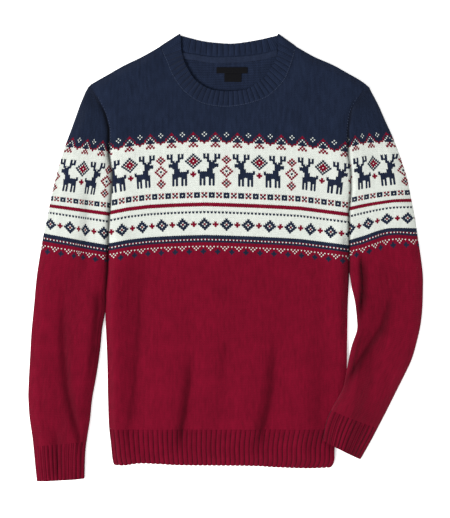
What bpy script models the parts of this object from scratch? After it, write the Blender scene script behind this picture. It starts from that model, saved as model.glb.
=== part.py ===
"""Crew-neck knitted sweater, laid flat with its front up.

Sizes are millimetres until a mesh is made. X runs to the viewer's right, Y towards the neck and Z up.
Z = 0 is the surface that the sweater lies on. Each cloth piece is one closed wall.
"""

import bmesh
import bpy
import numpy as np

MM = 0.001
WALL = 2.8
BAND_WALL = 2.6
SEAM = 0.3
TRIM_WALL = 0.9
RIM_WALL = 1.5
RIM_BLEND = 8.0

BACK_TOP = WALL
REST = BACK_TOP + SEAM
LOFT = 2.8
EDGE_ROUND = 14.0
SIDE_LOFT = 2.4
SIDE_REACH = 22.0
SIDE_SPREAD = 16.0
LOFT_SIDES_UNDER = 30.0
THIN_SIDES_UNDER = 0.0
SHOULDER_PUFF = 0.9
ARMHOLE_TOP = 7
ARMHOLE_DIP = 1.2
ARMHOLE_SPREAD = 9.0
CHEST_PUFF = 1.2
CHEST_REACH = 20.0
CHEST_SPREAD = 12.0
CHEST_ABOVE = 60.0
HEM_SEAM = -283.0
HEM_PUFF = 1.4
HEM_PUFF_ABOVE = 18.0
HEM_SPREAD = 13.0
HEM_BOTTOM = -345.0
HEM_LOW_SIDE = -335.0
HEM_ROUND = 22.0
HEM_LOW = 0.3
FOLDS_END = 70.0
LEAST_LIFT = 0.3

# where the right cuff presses on the body: x and y of its start, how far it fades in, how much it presses
PRESS_X = (120.0, 40.0)
PRESS_Y = (-110.0, 50.0)
PRESSED = 1.5
PRESSED_SHARE = 0.85

# a fold fades in and out over this share of its length. Its wall drops ever steeper under ROLL_LIMIT
FOLD_FADE = 0.3
ROLL_LIMIT = 20.0

ROWS = 30
ARMPIT_ROW = 14
SHOULDER_COLUMNS = 7
NECK_COLUMNS = 26
BACK_SHOULDER_COLUMNS = 3
BACK_NECK_COLUMNS = 7
HEM_ROWS = 2
HEM_BACK_COLUMNS = 12

TUBE_WALL = 2.4
TUBE_HEIGHT = 7.0
TUBE_FOLD = 6.0
TUBE_LOFT = 1.8
TUBE_RAMP = 20.0
LEAST_HOLLOW = 0.5
FOLD_OF_LENGTH = 0.45
WALL_OF_FOLD = 0.6
FOLDS_FROM_EDGE = (3.0, 10.0)
FOLDS_FROM_SEAM = (2.0, 12.0)
ARMPIT_FOLD = 0.8
SEAM_HEIGHT = 5.4
SEAM_ROLL = 12.0
SEAM_BLEND_ROWS = 2
OVERLAP_LIFT = 9.0
OVERLAP_MARGIN = 12.0
OVERLAP_REACH = 34.0
OVERLAP_TOP = (-100.0, -158.0)
CLEAR_OF_SIDE = 1.2
CROSSES_BELOW = -68.0
SLEEVE_ACROSS = (0, 0.08, 0.17, 0.27, 0.38, 0.49, 0.6, 0.71, 0.82, 0.91, 1)
TUBE_BENEATH = (1, 0.75, 0.5, 0.25, 0)
TUBE_TURN = (45, 90, 135)

RIB_POINTS = 3
RIB_RAISE = 1.5
RIB_SUNK = 0.6
RIB_FADE = 0.03
HEM_RIBS = 47
CUFF_RIBS = 11
CUFF_ROWS = 2
BAND_RIBS_FRONT = 36
BAND_RIBS_BACK = 18
BAND_ACROSS = 4
BAND_GAP = 0.4
BAND_FOLD_MID = 5.3
BAND_MID = 7.2
BAND_ARCH = 0.5
BAND_DROP = 0.8
BAND_THIN = 0.75
BAND_TUCK = 0.75
BAND_TURN = (30, 60, 90, 120, 150)
FRONT_FADE = 0.09
BACK_FADE = 0.12

# x, y from the shoulder point up to the neckband seam
SHOULDER_LEFT = ((-223, 284), (-211, 291), (-195, 300), (-169, 315), (-138, 330), (-108, 347))
SHOULDER_RIGHT = ((232, 284), (222, 291), (203, 302), (176, 317), (146, 330), (116, 347))

# x, y along the front and back neckband seams, left to right
NECK_FRONT = (
    (-108, 347), (-103, 334), (-97, 321), (-89, 301), (-75, 279), (-59, 264), (-40, 253), (-15, 247.5),
    (7, 247), (29, 250), (51, 256), (68, 263), (84, 276), (98, 293), (106, 312), (112, 330), (116, 347),
)
NECK_BACK = (
    (-108, 347), (-69, 338), (-50, 335), (-24, 331), (7, 331), (39, 333), (64, 337), (83, 342),
    (116, 347),
)

# x, y along the free edge of the neckband, front half and back half, left to right
BAND_FRONT = (
    (-74, 365.5), (-74, 358), (-73, 340), (-69, 324), (-62, 309), (-53, 295), (-42, 285), (-27, 277),
    (-12, 274), (5, 273), (20, 274), (36, 277), (49, 285), (63, 295), (74, 312), (82, 324), (86, 340),
    (86, 358), (85, 365.5),
)
BAND_BACK = (
    (-74, 365.5), (-58, 361), (-37, 356), (-12, 353), (11, 352), (36, 355), (58, 359), (71, 362),
    (85, 365.5),
)

# share of the seam's length, share of the free edge's length at the same rib
BAND_MATCH = (
    (0, 0), (0.07, 0.11), (0.15, 0.175), (0.25, 0.275), (0.35, 0.36), (0.5, 0.5),
    (0.65, 0.64), (0.75, 0.725), (0.85, 0.825), (0.93, 0.89), (1, 1),
)

# x of a back rib at the free edge, x of the same rib at the seam
BAND_BACK_MATCH = (
    (-74, -108), (-68, -84), (-60, -66), (-50, -52), (0, 0), (58, 61), (70, 78), (78, 94), (85, 116),
)

# x, y from the shoulder point down the armhole, the side and the hem's side
SIDE_LEFT = (
    (-223, 284), (-213, 266), (-198, 236), (-192, 212), (-190, 179), (-192, 73), (-193, 27), (-193, -3),
    (-195, -46), (-198, -79), (-198, -100), (-197, -123), (-195, -172), (-193, -226), (-191, -275),
    (-188, -308), (-186, -335), (-182, -344),
)
SIDE_RIGHT = (
    (232, 284), (217, 261), (206, 239), (202, 212), (203, 179), (204, 71), (202, -3), (202, -29),
    (201, -85), (200, -156), (199, -203), (194, -252), (187, -282), (180, -311), (179, -335), (173, -347),
)

# x, y down the outer edge of each sleeve and its cuff
OUTER_LEFT = (
    (-227, 279), (-231, 272), (-239, 253), (-248, 228), (-256, 206), (-265, 182), (-273, 156), (-281, 127),
    (-288, 97), (-293, 70), (-299, 43), (-307, -3), (-312, -38), (-316, -82), (-320, -123), (-322, -158),
    (-325, -215), (-325, -237), (-323, -265), (-318, -300), (-314, -341), (-311, -369),
)
OUTER_RIGHT = (
    (237, 279), (241, 271), (252, 250), (263, 225), (274, 201), (284, 176), (292, 152), (299, 130),
    (305, 100), (311, 70), (316, 37), (322, -3), (325, -30), (325, -57), (324, -85), (321, -112),
    (315, -139), (308, -164), (300, -183), (288, -207), (274, -235), (262, -259), (250, -282),
    (239, -303), (222, -333),
)

# x, y down the inner edge of each sleeve and its cuff, from the armpit
INNER_LEFT = (
    (-194, 22), (-194, -3), (-196, -46), (-199, -90), (-204, -117), (-207, -156), (-213, -196),
    (-220, -235), (-223, -265), (-228, -297), (-231, -322), (-232.5, -364.5),
)
INNER_RIGHT = (
    (204, 22), (203, 4), (204, -21), (208, -49), (213, -74), (216, -101), (216, -120), (207, -145),
    (201, -172), (194, -210), (187, -226), (173, -251), (164, -275), (160, -301),
)

# y of a knitted row where it meets the body or the inner edge, y of that row at the outer edge
ROWS_LEFT = (
    (284, 279), (266, 271), (236, 243), (212, 219), (173, 181), (71, 84), (17, 33), (-46, -33),
    (-120, -113), (-203, -203), (-303, -311), (-364.5, -369),
)
ROWS_RIGHT = (
    (284, 279), (261, 268), (240, 248), (212, 223), (179, 192), (80, 93), (24, 42), (-5, 14), (-29, -16),
    (-54, -49), (-79, -85), (-100, -119), (-120, -150), (-145, -178), (-172, -205), (-210, -240),
    (-226, -259), (-251, -282), (-301, -333),
)

# y of the cuff seam and of the cuff's end at the inner edge
CUFF_LEFT = (-303, -364.5)
CUFF_RIGHT = (-251, -301)

# x, y along the bottom of the hem
HEM = (
    (-186, -342), (-168, -342), (-143, -339), (-111, -340), (-73, -342), (40, -343), (81, -345),
    (135, -347), (175, -346),
)

# the line of each fold from its top, its height at the top and at the bottom (below zero for a trough),
# and how far it reaches on its left and right hand as one walks down it
BODY_FOLDS = (
    (((-139, -50), (-146, -137), (-150, -203), (-156, -252), (-162, -288), (-167, -331)), -1.8, -2.4, 26, 18),
    (((-55, -150), (-59, -193), (-64, -229), (-69, -259), (-75, -288), (-82, -330)), -2.4, -3.2, 26, 18),
    (((85, -120), (78, -186), (74, -219), (67, -252), (58, -282), (49, -331)), -2.2, -2.8, 26, 19),
    (((1, -130), (-3, -170), (-6, -215)), -1.2, -1.2, 22, 16),
    (((158, -215), (155, -245), (151, -280)), -1.2, -1.4, 22, 14),
    (((-118, -20), (-126, -140), (-136, -262)), 0.8, 1.4, 16, 14),
    (((-38, -150), (-46, -220), (-58, -285)), 0.8, 1.2, 16, 14),
    (((112, -110), (101, -190), (88, -262)), 0.8, 1.2, 16, 14),
    (((30, -60), (26, -160), (22, -250)), 0.8, 1.2, 22, 22),
    (((-70, 212), (0, 206), (70, 210)), 0.8, 0.8, 26, 26),
    (((-150, 260), (-160, 200), (-165, 140)), 1.2, 0.8, 16, 16),
    (((160, 262), (168, 200), (172, 140)), 1.2, 0.8, 16, 16),
)
LEFT_FOLDS = (
    (((-270, -90), (-265, -161), (-260, -219), (-251, -260), (-235, -311), (-229, -360)), -2.4, -3.4, 14, 14),
    (((-279, -270), (-277, -320), (-274, -372)), -1.8, -2.0, 12, 12),
    (((-229, 150), (-230, 40), (-232, -50)), -1.4, -1.4, 22, 14),
    (((-204, -50), (-209, -110), (-213, -160), (-220, -210)), -1.8, -2.0, 14, 10),
    (((-292, -150), (-290, -220), (-282, -290)), 1.0, 1.2, 14, 14),
)
RIGHT_FOLDS = (
    (((223, 20), (229, -37), (226, -79), (220, -125)), -3.2, -3.5, 16, 12),
    (((290, -76), (258, -112), (241, -137), (219, -170), (199, -200), (181, -225)), -3.0, -3.5, 16, 22),
    (((284, -124), (252, -176), (224, -222)), 1.0, 1.4, 14, 14),
    (((300, 40), (306, -40), (298, -110)), 0.8, 0.8, 16, 16),
    (((248, 60), (256, 0), (262, -60)), 0.8, 1.0, 16, 16),
)

# x0, y0, x1, y1 of the bare label and of the bare size tab under it
LABEL = (-15.0, 303.0, 36.0, 313.0)
SIZE_TAB = (-2.0, 289.0, 26.0, 302.7)
TAPE_ENDS = (-72.0, 85.0)
TAPE_DEPTH = 9.5
TAPE_BELOW_SEAM = 1.2

NAVY = (0.016, 0.024, 0.047, 1)
WINE = (0.19, 0.007, 0.021, 1)
IVORY = (0.77, 0.82, 0.74, 1)
BLACK = (0.01, 0.01, 0.012, 1)


def smooth(value):
    """Rise from 0 to 1 with level ends."""
    t = np.clip(value, 0.0, 1.0)
    return t * t * (3 - 2 * t)


def bump(distance, width):
    """A soft hump, 1 high at distance 0."""
    return np.exp(-np.square(distance / width))


def spline(table, steps=8):
    """A smooth curve through the rows of a table."""
    rows = np.array(table, float)
    rows = np.vstack([2 * rows[0] - rows[1], rows, 2 * rows[-1] - rows[-2]])
    t = np.linspace(0, 1, steps, endpoint=False)[:, None]
    stretches = []
    for before, start, end, after in zip(rows[:-3], rows[1:-2], rows[2:-1], rows[3:]):
        line = 2 * start + (end - before) * t
        curve = (2 * before - 5 * start + 4 * end - after) * t**2
        twist = (3 * start - before - 3 * end + after) * t**3
        stretches.append(0.5 * (line + curve + twist))
    return np.vstack(stretches + [rows[-2:-1]])


def shares(curve):
    """The share of a curve's length at each of its points."""
    lengths = np.linalg.norm(np.diff(curve, axis=0), axis=1)
    run = np.concatenate([[0.0], np.cumsum(lengths)])
    return run / run[-1]


def at_share(curve, share):
    """Points of a curve at shares of its length."""
    run = shares(curve)
    return np.stack([np.interp(share, run, curve[:, k]) for k in range(2)], axis=-1)


def x_at(table, y):
    """The x of a curve that falls steadily, at heights y."""
    curve = spline(table)[::-1]
    return np.interp(y, curve[:, 1], curve[:, 0])


def away(x, y, line):
    """Distance of points from a line of straight stretches."""
    best = np.full(np.shape(x), np.inf)
    for (ax, ay), (bx, by) in zip(line[:-1], line[1:]):
        length = (bx - ax) ** 2 + (by - ay) ** 2
        t = np.clip(((x - ax) * (bx - ax) + (y - ay) * (by - ay)) / length, 0, 1)
        best = np.minimum(best, np.hypot(x - ax - t * (bx - ax), y - ay - t * (by - ay)))
    return best


def fold_places(x, y, line):
    """Of each point beside a line: its distance, its side and how far down the line it lies, as a share."""
    line = np.array(line, float)
    run = shares(line)
    near = np.full(np.shape(x), np.inf)
    side, share = np.zeros(np.shape(x)), np.zeros(np.shape(x))
    for k, ((ax, ay), (bx, by)) in enumerate(zip(line[:-1], line[1:])):
        t = ((x - ax) * (bx - ax) + (y - ay) * (by - ay)) / ((bx - ax) ** 2 + (by - ay) ** 2)
        t = np.clip(t, 0, 1)
        distance = np.hypot(x - ax - t * (bx - ax), y - ay - t * (by - ay))
        closer = distance < near
        near = np.where(closer, distance, near)
        side = np.where(closer, (bx - ax) * (y - ay) - (by - ay) * (x - ax), side)
        share = np.where(closer, run[k] + t * (run[k + 1] - run[k]), share)
    return near, side, share


def folds(x, y, table):
    """The summed height of the soft folds of a table."""
    total = np.zeros(np.shape(x))
    for line, top, bottom, left_reach, right_reach in table:
        near, side, share = fold_places(x, y, line)
        fade = smooth(share / FOLD_FADE) * smooth((1 - share) / FOLD_FADE)
        reach = np.where(side > 0, left_reach, right_reach)
        rolled = np.square(1 - np.clip(near / reach, 0, 1))
        rolls = (reach < ROLL_LIMIT) & (min(top, bottom) < 0)
        total = total + (top + (bottom - top) * share) * fade * np.where(rolls, rolled, bump(near, reach))
    return total


def below(table, y):
    """The rows of a table that lie under a height."""
    return [row for row in table if row[1] <= y]


def from_sides(x, y, top):
    """Distance of points from the body's sides, under a height."""
    return np.minimum(away(x, y, below(SIDE_LEFT, top)), away(x, y, below(SIDE_RIGHT, top)))


def from_shoulders(x, y):
    """Distance of points from the shoulder seams."""
    return np.minimum(away(x, y, SHOULDER_LEFT), away(x, y, SHOULDER_RIGHT))


def front_under(x, y):
    """Height of the front's plain inside above the surface, down to the bottom of its hem."""
    shoulders, sides = from_shoulders(x, y), from_sides(x, y, LOFT_SIDES_UNDER)
    armholes = np.minimum(away(x, y, SIDE_LEFT[:ARMHOLE_TOP]), away(x, y, SIDE_RIGHT[:ARMHOLE_TOP]))
    press = smooth((x - PRESS_X[0]) / PRESS_X[1]) * smooth((PRESS_Y[0] - y) / PRESS_Y[1])
    kept = 1 - PRESSED_SHARE * press
    edge = smooth(np.minimum(shoulders, sides) / EDGE_ROUND)
    edge = edge * (HEM_LOW + (1 - HEM_LOW) * smooth((y - HEM_BOTTOM) / HEM_ROUND))
    height = REST + (LOFT - PRESSED * press) * edge
    height = height + SIDE_LOFT * edge * bump(sides - SIDE_REACH, SIDE_SPREAD) * kept
    height = height + SHOULDER_PUFF * edge * bump(shoulders - SIDE_REACH, SIDE_SPREAD)
    height = height - ARMHOLE_DIP * edge * bump(armholes, ARMHOLE_SPREAD)
    height = height + CHEST_PUFF * bump(armholes - CHEST_REACH, CHEST_SPREAD) * smooth(y / CHEST_ABOVE)
    height = height + HEM_PUFF * edge * bump(y - HEM_SEAM - HEM_PUFF_ABOVE, HEM_SPREAD) * kept
    height = height + folds(x, y, BODY_FOLDS) * edge * kept * smooth((y - HEM_BOTTOM) / FOLDS_END)
    return np.maximum(height, REST + LEAST_LIFT * edge)


def front_thick(x, y):
    """Thickness of the front's cloth, which thins towards its shoulders and sides."""
    rims = np.minimum(from_shoulders(x, y), from_sides(x, y, THIN_SIDES_UNDER))
    return RIM_WALL + (WALL - RIM_WALL) * smooth(rims / RIM_BLEND)


def body_grid(neck, shoulder_columns, neck_columns):
    """X and Y of a body panel. Columns fan down from the shoulders and neckline."""
    left = at_share(spline(SHOULDER_LEFT), np.linspace(0, 1, shoulder_columns + 1))
    middle = at_share(spline(neck), np.linspace(0, 1, neck_columns + 1))
    right = at_share(spline(SHOULDER_RIGHT), np.linspace(1, 0, shoulder_columns + 1))
    top = np.vstack([left, middle[1:-1], right])
    start, end = x_at(SIDE_LEFT, top[:, 1]), x_at(SIDE_RIGHT, top[:, 1])
    share = (top[:, 0] - start) / (end - start)
    share[0], share[-1] = 0, 1
    down = np.linspace(0, 1, ROWS + 1)[:, None]
    y = top[:, 1] + (HEM_SEAM + SEAM / 2 - top[:, 1]) * down
    start, end = x_at(SIDE_LEFT, y), x_at(SIDE_RIGHT, y)
    x = start + share * (end - start)
    return x, y


def stack(x, y, z):
    """One array of points from their three coordinates."""
    return np.stack(np.broadcast_arrays(x, y, z), axis=-1).astype(float)


def grid_quads(rows, columns, closed=False):
    """Quads of a grid, as rows of point numbers. A closed grid's last row meets its first."""
    quads = []
    for i in range(rows if closed else rows - 1):
        for j in range(columns - 1):
            a, b = i * columns + j, (i + 1) % rows * columns + j
            quads.append((a, a + 1, b + 1, b))
    return quads


def material(name, colour):
    """A plain cloth material."""
    made = bpy.data.materials.get(name) or bpy.data.materials.new(name)
    made.use_nodes = True
    made.diffuse_color = colour
    shader = made.node_tree.nodes["Principled BSDF"]
    shader.inputs["Base Color"].default_value = colour
    shader.inputs["Roughness"].default_value = 0.9
    return made


def wall(name, outer, inner, quads, colour):
    """One closed wall between outer and inner points, with rims along its open edges."""
    count = len(outer)
    faces = list(quads) + [tuple(count + k for k in reversed(quad)) for quad in quads]
    edges = {}
    for quad in quads:
        for a, b in zip(quad, quad[1:] + quad[:1]):
            edges[(a, b)] = True
    for a, b in edges:
        if (b, a) not in edges:
            faces.append((b, a, count + a, count + b))
    mesh = bpy.data.meshes.new(name)
    mesh.from_pydata((np.vstack([outer, inner]) * MM).tolist(), [], faces)
    shaped = bmesh.new()
    shaped.from_mesh(mesh)
    bmesh.ops.recalc_face_normals(shaped, faces=shaped.faces)
    shaped.to_mesh(mesh)
    shaped.free()
    mesh.materials.append(colour)
    made = bpy.data.objects.new(name, mesh)
    bpy.context.scene.collection.objects.link(made)
    return made


def panel(name, top, under, colour):
    """A closed wall from two grids of points, the outer one above the inner one."""
    rows, columns = top.shape[:2]
    quads = [tuple(reversed(quad)) for quad in grid_quads(rows, columns)]
    return wall(name, top.reshape(-1, 3), under.reshape(-1, 3), quads, colour)


def build_front(colour):
    """The front panel, lofted over the back and thin at its rims."""
    x, y = body_grid(NECK_FRONT, SHOULDER_COLUMNS, NECK_COLUMNS)
    under = front_under(x, y)
    return panel("front", stack(x, y, under + front_thick(x, y)), stack(x, y, under), colour)


def build_back(colour):
    """The back panel, flat on the surface."""
    x, y = body_grid(NECK_BACK, BACK_SHOULDER_COLUMNS, BACK_NECK_COLUMNS)
    return panel("back", stack(x, y, BACK_TOP), stack(x, y, 0), colour)


def hem_grid(columns, rows):
    """X and Y of a hem rib, from its seam down to its bottom edge."""
    share = np.linspace(0, 1, columns + 1)
    low = spline(HEM)
    start, end = x_at(SIDE_LEFT, HEM_LOW_SIDE), x_at(SIDE_RIGHT, HEM_LOW_SIDE)
    span = start + share * (end - start)
    bottom = np.interp(span, low[:, 0], low[:, 1])
    down = np.linspace(0, 1, rows + 1)[:, None]
    y = HEM_SEAM - SEAM / 2 + (bottom - HEM_SEAM + SEAM / 2) * down
    start, end = x_at(SIDE_LEFT, y), x_at(SIDE_RIGHT, y)
    return start + share * (end - start), y, share


def rib_rise(ribs):
    """Rise of each point across ribs: one sunk point and then raised ones to a rib."""
    rise = np.full(ribs * RIB_POINTS + 1, 1 - RIB_SUNK)
    rise[::RIB_POINTS] = -RIB_SUNK
    return RIB_RAISE * rise


def build_hem_front(colour):
    """The front hem rib, with its ribs raised over a plain inside. It carries the front on without a step."""
    x, y, share = hem_grid(HEM_RIBS * RIB_POINTS, HEM_ROWS)
    edge = smooth(np.minimum(share, 1 - share) / RIB_FADE)
    under = front_under(x, y)
    top = under + front_thick(x, y) + rib_rise(HEM_RIBS) * edge
    return panel("hem_rib_front", stack(x, y, top), stack(x, y, under), colour)


def build_hem_back(colour):
    """The back hem rib, plain where it rests."""
    x, y, _ = hem_grid(HEM_BACK_COLUMNS, HEM_ROWS)
    return panel("hem_rib_back", stack(x, y, BACK_TOP), stack(x, y, 0), colour)


def lifted(x, y):
    """Height that a sleeve's underside is carried by the body below it."""
    past = x_at(SIDE_RIGHT, y) + OVERLAP_MARGIN - x
    start, end = OVERLAP_TOP
    reach = smooth((start - y) / (start - end))
    return OVERLAP_LIFT * smooth((past + OVERLAP_REACH) / OVERLAP_REACH) * reach


def tube(name, near_ends, far_ends, open_rows, top_share, table, rise, carried, colour):
    """A flattened tube along pairs of end points, open to the body down to its row open_rows.

    Each ring runs over the top wall to the outer edge, round its fold and back under the bottom wall.
    A closed ring also turns round a fold at its inner edge.
    """
    turn = np.radians(TUBE_TURN)
    top_share, under_share = np.array(top_share), np.array(TUBE_BENEATH)
    tops, unders, turns = len(top_share), len(under_share), len(turn)
    ring = tops + turns + unders
    outer, inner, quads, starts = [], [], [], []
    for row, (near, far) in enumerate(zip(near_ends, far_ends)):
        length = np.linalg.norm(far - near)
        along = (far - near) / length
        fold = min(TUBE_FOLD, FOLD_OF_LENGTH * length)
        inset = min(TUBE_WALL, WALL_OF_FOLD * fold)
        closed = row >= open_rows
        near_fold, near_inset = 0.0, 0.0
        if closed:
            near_fold = ARMPIT_FOLD if row == open_rows and open_rows else fold
            near_inset = max(near_fold, inset + ARMPIT_FOLD)
        rim = TUBE_HEIGHT
        if open_rows:
            rim = SEAM_HEIGHT + (TUBE_HEIGHT - SEAM_HEIGHT) * smooth((row - open_rows) / SEAM_BLEND_ROWS)
        steps = np.concatenate([
            near_fold + (length - fold - near_fold) * top_share,
            length - fold + fold * np.sin(turn),
            near_fold + (length - fold - near_fold) * under_share,
            near_fold - near_fold * np.sin(turn) if closed else [],
        ])
        inside = np.concatenate([
            near_inset + (length - fold - near_inset) * top_share,
            length - fold + (fold - inset) * np.sin(turn),
            near_inset + (length - fold - near_inset) * under_share,
            near_inset - (near_inset - inset) * np.sin(turn) if closed else [],
        ])
        level = np.concatenate([
            np.ones(tops), np.cos(turn), -np.ones(unders), -np.cos(turn) if closed else [],
        ])
        lift = np.zeros(len(steps))
        lift[:tops] = rise
        near_side = np.arange(len(steps)) >= ring
        starts.append(len(outer))
        for place, points, thin, raised in ((steps, outer, 0.0, lift), (inside, inner, TUBE_WALL, 0 * lift)):
            x = near[0] + along[0] * place
            y = near[1] + along[1] * place
            reach = np.minimum(place, length - place) if closed else length - place
            height = TUBE_HEIGHT + TUBE_LOFT * smooth(reach / TUBE_RAMP)
            shown = smooth((reach - FOLDS_FROM_EDGE[0]) / FOLDS_FROM_EDGE[1])
            shown = shown * smooth((place - FOLDS_FROM_SEAM[0]) / FOLDS_FROM_SEAM[1])
            height = height + folds(x, y, table) * shown
            height = rim + (height - rim) * smooth(place / SEAM_ROLL)
            height = np.maximum(height, 2 * TUBE_WALL + LEAST_HOLLOW)
            height = np.where(level > 0.99, height, np.where(near_side, rim, TUBE_HEIGHT))
            base = lifted(x, y) if carried else 0.0
            z = base + height / 2 + (height / 2 - thin) * level + raised
            points.extend(stack(x, y, z).tolist())
    for row in range(len(starts) - 1):
        here, there = starts[row], starts[row + 1]
        loop = [*range(ring + turns), 0] if row >= open_rows else [*range(ring)]
        for j, k in zip(loop[:-1], loop[1:]):
            quads.append((here + j, there + j, there + k, here + k))
    return wall(name, np.array(outer), np.array(inner), quads, colour)


def sleeve_ends(heights, seam, inner, outer, rows, open_rows, way):
    """End points of knitted rows: where they meet the body or inner edge, and at the outer edge."""
    near = x_at(seam, heights) + way * SEAM
    table = np.array(rows, float)[::-1]
    edge = x_at(inner, heights)
    side = x_at(seam, heights) + way * CLEAR_OF_SIDE
    beside = np.where(way * (edge - side) > 0, edge, side)
    apart = np.where((heights < CROSSES_BELOW) & (way > 0), edge, beside)
    near = np.where(np.arange(len(heights)) <= open_rows, near, apart)
    far_y = np.interp(heights, table[:, 0], table[:, 1])
    return stack(near, heights, 0)[:, :2], stack(x_at(outer, far_y), far_y, 0)[:, :2]


def build_sleeve(name, seam, inner, outer, rows, cuff, table, way, carried, colour):
    """A sleeve from its armhole seam to its cuff seam."""
    down = np.linspace(0, 1, ROWS + 1)[:ARMPIT_ROW + 1]
    armhole = seam[0][1] + (HEM_SEAM + SEAM / 2 - seam[0][1]) * down
    rest = np.linspace(armhole[-1], cuff[0], ROWS - ARMPIT_ROW - 1)[1:]
    heights = np.concatenate([armhole, rest])
    near, far = sleeve_ends(heights, seam, inner, outer, rows, ARMPIT_ROW, way)
    return tube(name, near, far, ARMPIT_ROW, SLEEVE_ACROSS, table, 0, carried, colour)


def build_cuff(name, seam, inner, outer, rows, cuff, table, way, carried, colour):
    """A cuff that carries the sleeve's tube on, ribbed on its top."""
    heights = np.linspace(cuff[0] - BAND_GAP, cuff[1], CUFF_ROWS + 1)
    near, far = sleeve_ends(heights, seam, inner, outer, rows, -1, way)
    across = np.linspace(0, 1, CUFF_RIBS * RIB_POINTS + 1)
    return tube(name, near, far, 0, across, table, rib_rise(CUFF_RIBS), carried, colour)


def seam_polyline(neck, shoulder_columns, neck_columns, inward):
    """The panel's neckline points, moved into the neck by the seam gap."""
    x, y = body_grid(neck, shoulder_columns, neck_columns)
    line = np.stack([x[0], y[0]], axis=-1)[shoulder_columns:shoulder_columns + neck_columns + 1]
    slope = np.gradient(line, axis=0)
    normal = np.stack([-slope[:, 1], slope[:, 0]], axis=-1)
    return line + inward * normal / np.linalg.norm(normal, axis=1)[:, None]


def build_neckband(colour):
    """The ribbed neckband: its front half right side up, its back half turned under at both shoulders.

    It thins towards the seam's ends, where it meets the thin rims of the shoulders.
    """
    across = np.linspace(0, 1, BAND_ACROSS)
    seam = seam_polyline(NECK_FRONT, SHOULDER_COLUMNS, NECK_COLUMNS, BAND_GAP)
    share = np.linspace(0, 1, 2 * BAND_RIBS_FRONT + 1)
    match = np.array(BAND_MATCH)
    starts = at_share(seam, share)
    starts[[0, -1], 1] += BAND_GAP / 2
    ends = at_share(spline(BAND_FRONT), np.interp(share, match[:, 0], match[:, 1]))
    seam_back = seam_polyline(NECK_BACK, BACK_SHOULDER_COLUMNS, BACK_NECK_COLUMNS, BAND_GAP)
    back_share = np.linspace(1, 0, 2 * BAND_RIBS_BACK + 1)
    back_ends = at_share(spline(BAND_BACK), back_share)
    back_match = np.array(BAND_BACK_MATCH, float)
    seam_x = np.interp(back_ends[:, 0], back_match[:, 0], back_match[:, 1])
    back_starts = np.stack([seam_x, np.interp(seam_x, seam_back[:, 0], seam_back[:, 1])], axis=-1)
    back_starts[0], back_starts[-1] = starts[-1], starts[0]
    back_ends[0], back_ends[-1] = ends[-1], ends[0]
    arch = BAND_ARCH * np.sin(np.pi * across) - BAND_DROP * smooth(across)
    thin_half = BAND_WALL / 2 - (BAND_WALL / 2 - BAND_THIN) * (1 - across)
    fold_top = BAND_FOLD_MID - (BAND_FOLD_MID - REST - BAND_THIN) * (1 - across)
    radius, centre = (fold_top - thin_half) / 2, (fold_top + thin_half) / 2
    outer, inner = [], []

    def section(start, end, mid, way, near, raised, raised_in):
        line = start + (end - start) * across[:, None]
        middle = stack(line[:, 0], line[:, 1], mid)
        half = thin_half + (BAND_WALL / 2 - thin_half) * near
        outer.append(middle + np.array(way) * (half + raised)[:, None])
        inner.append(middle - np.array(way) * (half + raised_in)[:, None])

    def fold(start, end, outward, angles):
        tucked = radius * (BAND_TUCK + (1 - BAND_TUCK) * across)
        for angle in angles:
            shift = (outward * np.sin(angle))[None, :] * tucked[:, None]
            way = (*(outward * np.sin(angle)), np.cos(angle))
            section(start + shift, end + shift, centre + radius * np.cos(angle), way, 0, 0, 0)

    for number, place in enumerate(share):
        near = smooth(min(place, 1 - place) / FRONT_FADE)
        rise = RIB_RAISE * (number % 2 - RIB_SUNK) * near
        section(starts[number], ends[number], fold_top + (BAND_MID + arch - fold_top) * near, (0, 0, 1), near,
                rise, 0)
    span = ends[-1] - starts[-1]
    turn = np.radians(BAND_TURN)
    fold(starts[-1], ends[-1], np.array((-span[1], span[0])) / -np.linalg.norm(span), turn)
    for number, place in enumerate(back_share):
        near = smooth(min(place, 1 - place) / BACK_FADE)
        mid = thin_half + (BAND_WALL / 2 - thin_half) * near
        rise = RIB_RAISE * (number % 2) * near
        section(back_starts[number], back_ends[number], mid, (0, 0, -1), near, 0, rise)
    span = ends[0] - starts[0]
    fold(starts[0], ends[0], np.array((-span[1], span[0])) / np.linalg.norm(span), turn[::-1])

    quads = grid_quads(len(outer), BAND_ACROSS, closed=True)
    outer, inner = np.array(outer), np.array(inner)
    return wall("neckband", outer.reshape(-1, 3), inner.reshape(-1, 3), quads, colour)


def build_tape(colour):
    """The tape over the back neckline seam, on the inside of the back."""
    seam = spline(NECK_BACK)
    x = np.linspace(TAPE_ENDS[0], TAPE_ENDS[1], 13)
    high = np.interp(x, seam[:, 0], seam[:, 1]) - TAPE_BELOW_SEAM
    y = high - TAPE_DEPTH * np.array((0, 1))[:, None]
    top = REST + TRIM_WALL
    return panel("neck_tape", stack(x, y, top), stack(x, y, REST), colour)


def build_plate(name, box, colour):
    """A flat bare label on the inside of the back."""
    x0, y0, x1, y1 = box
    x, y = np.meshgrid(np.linspace(x0, x1, 5), np.linspace(y1, y0, 3))
    return panel(name, stack(x, y, REST + TRIM_WALL), stack(x, y, REST), colour)


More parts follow.
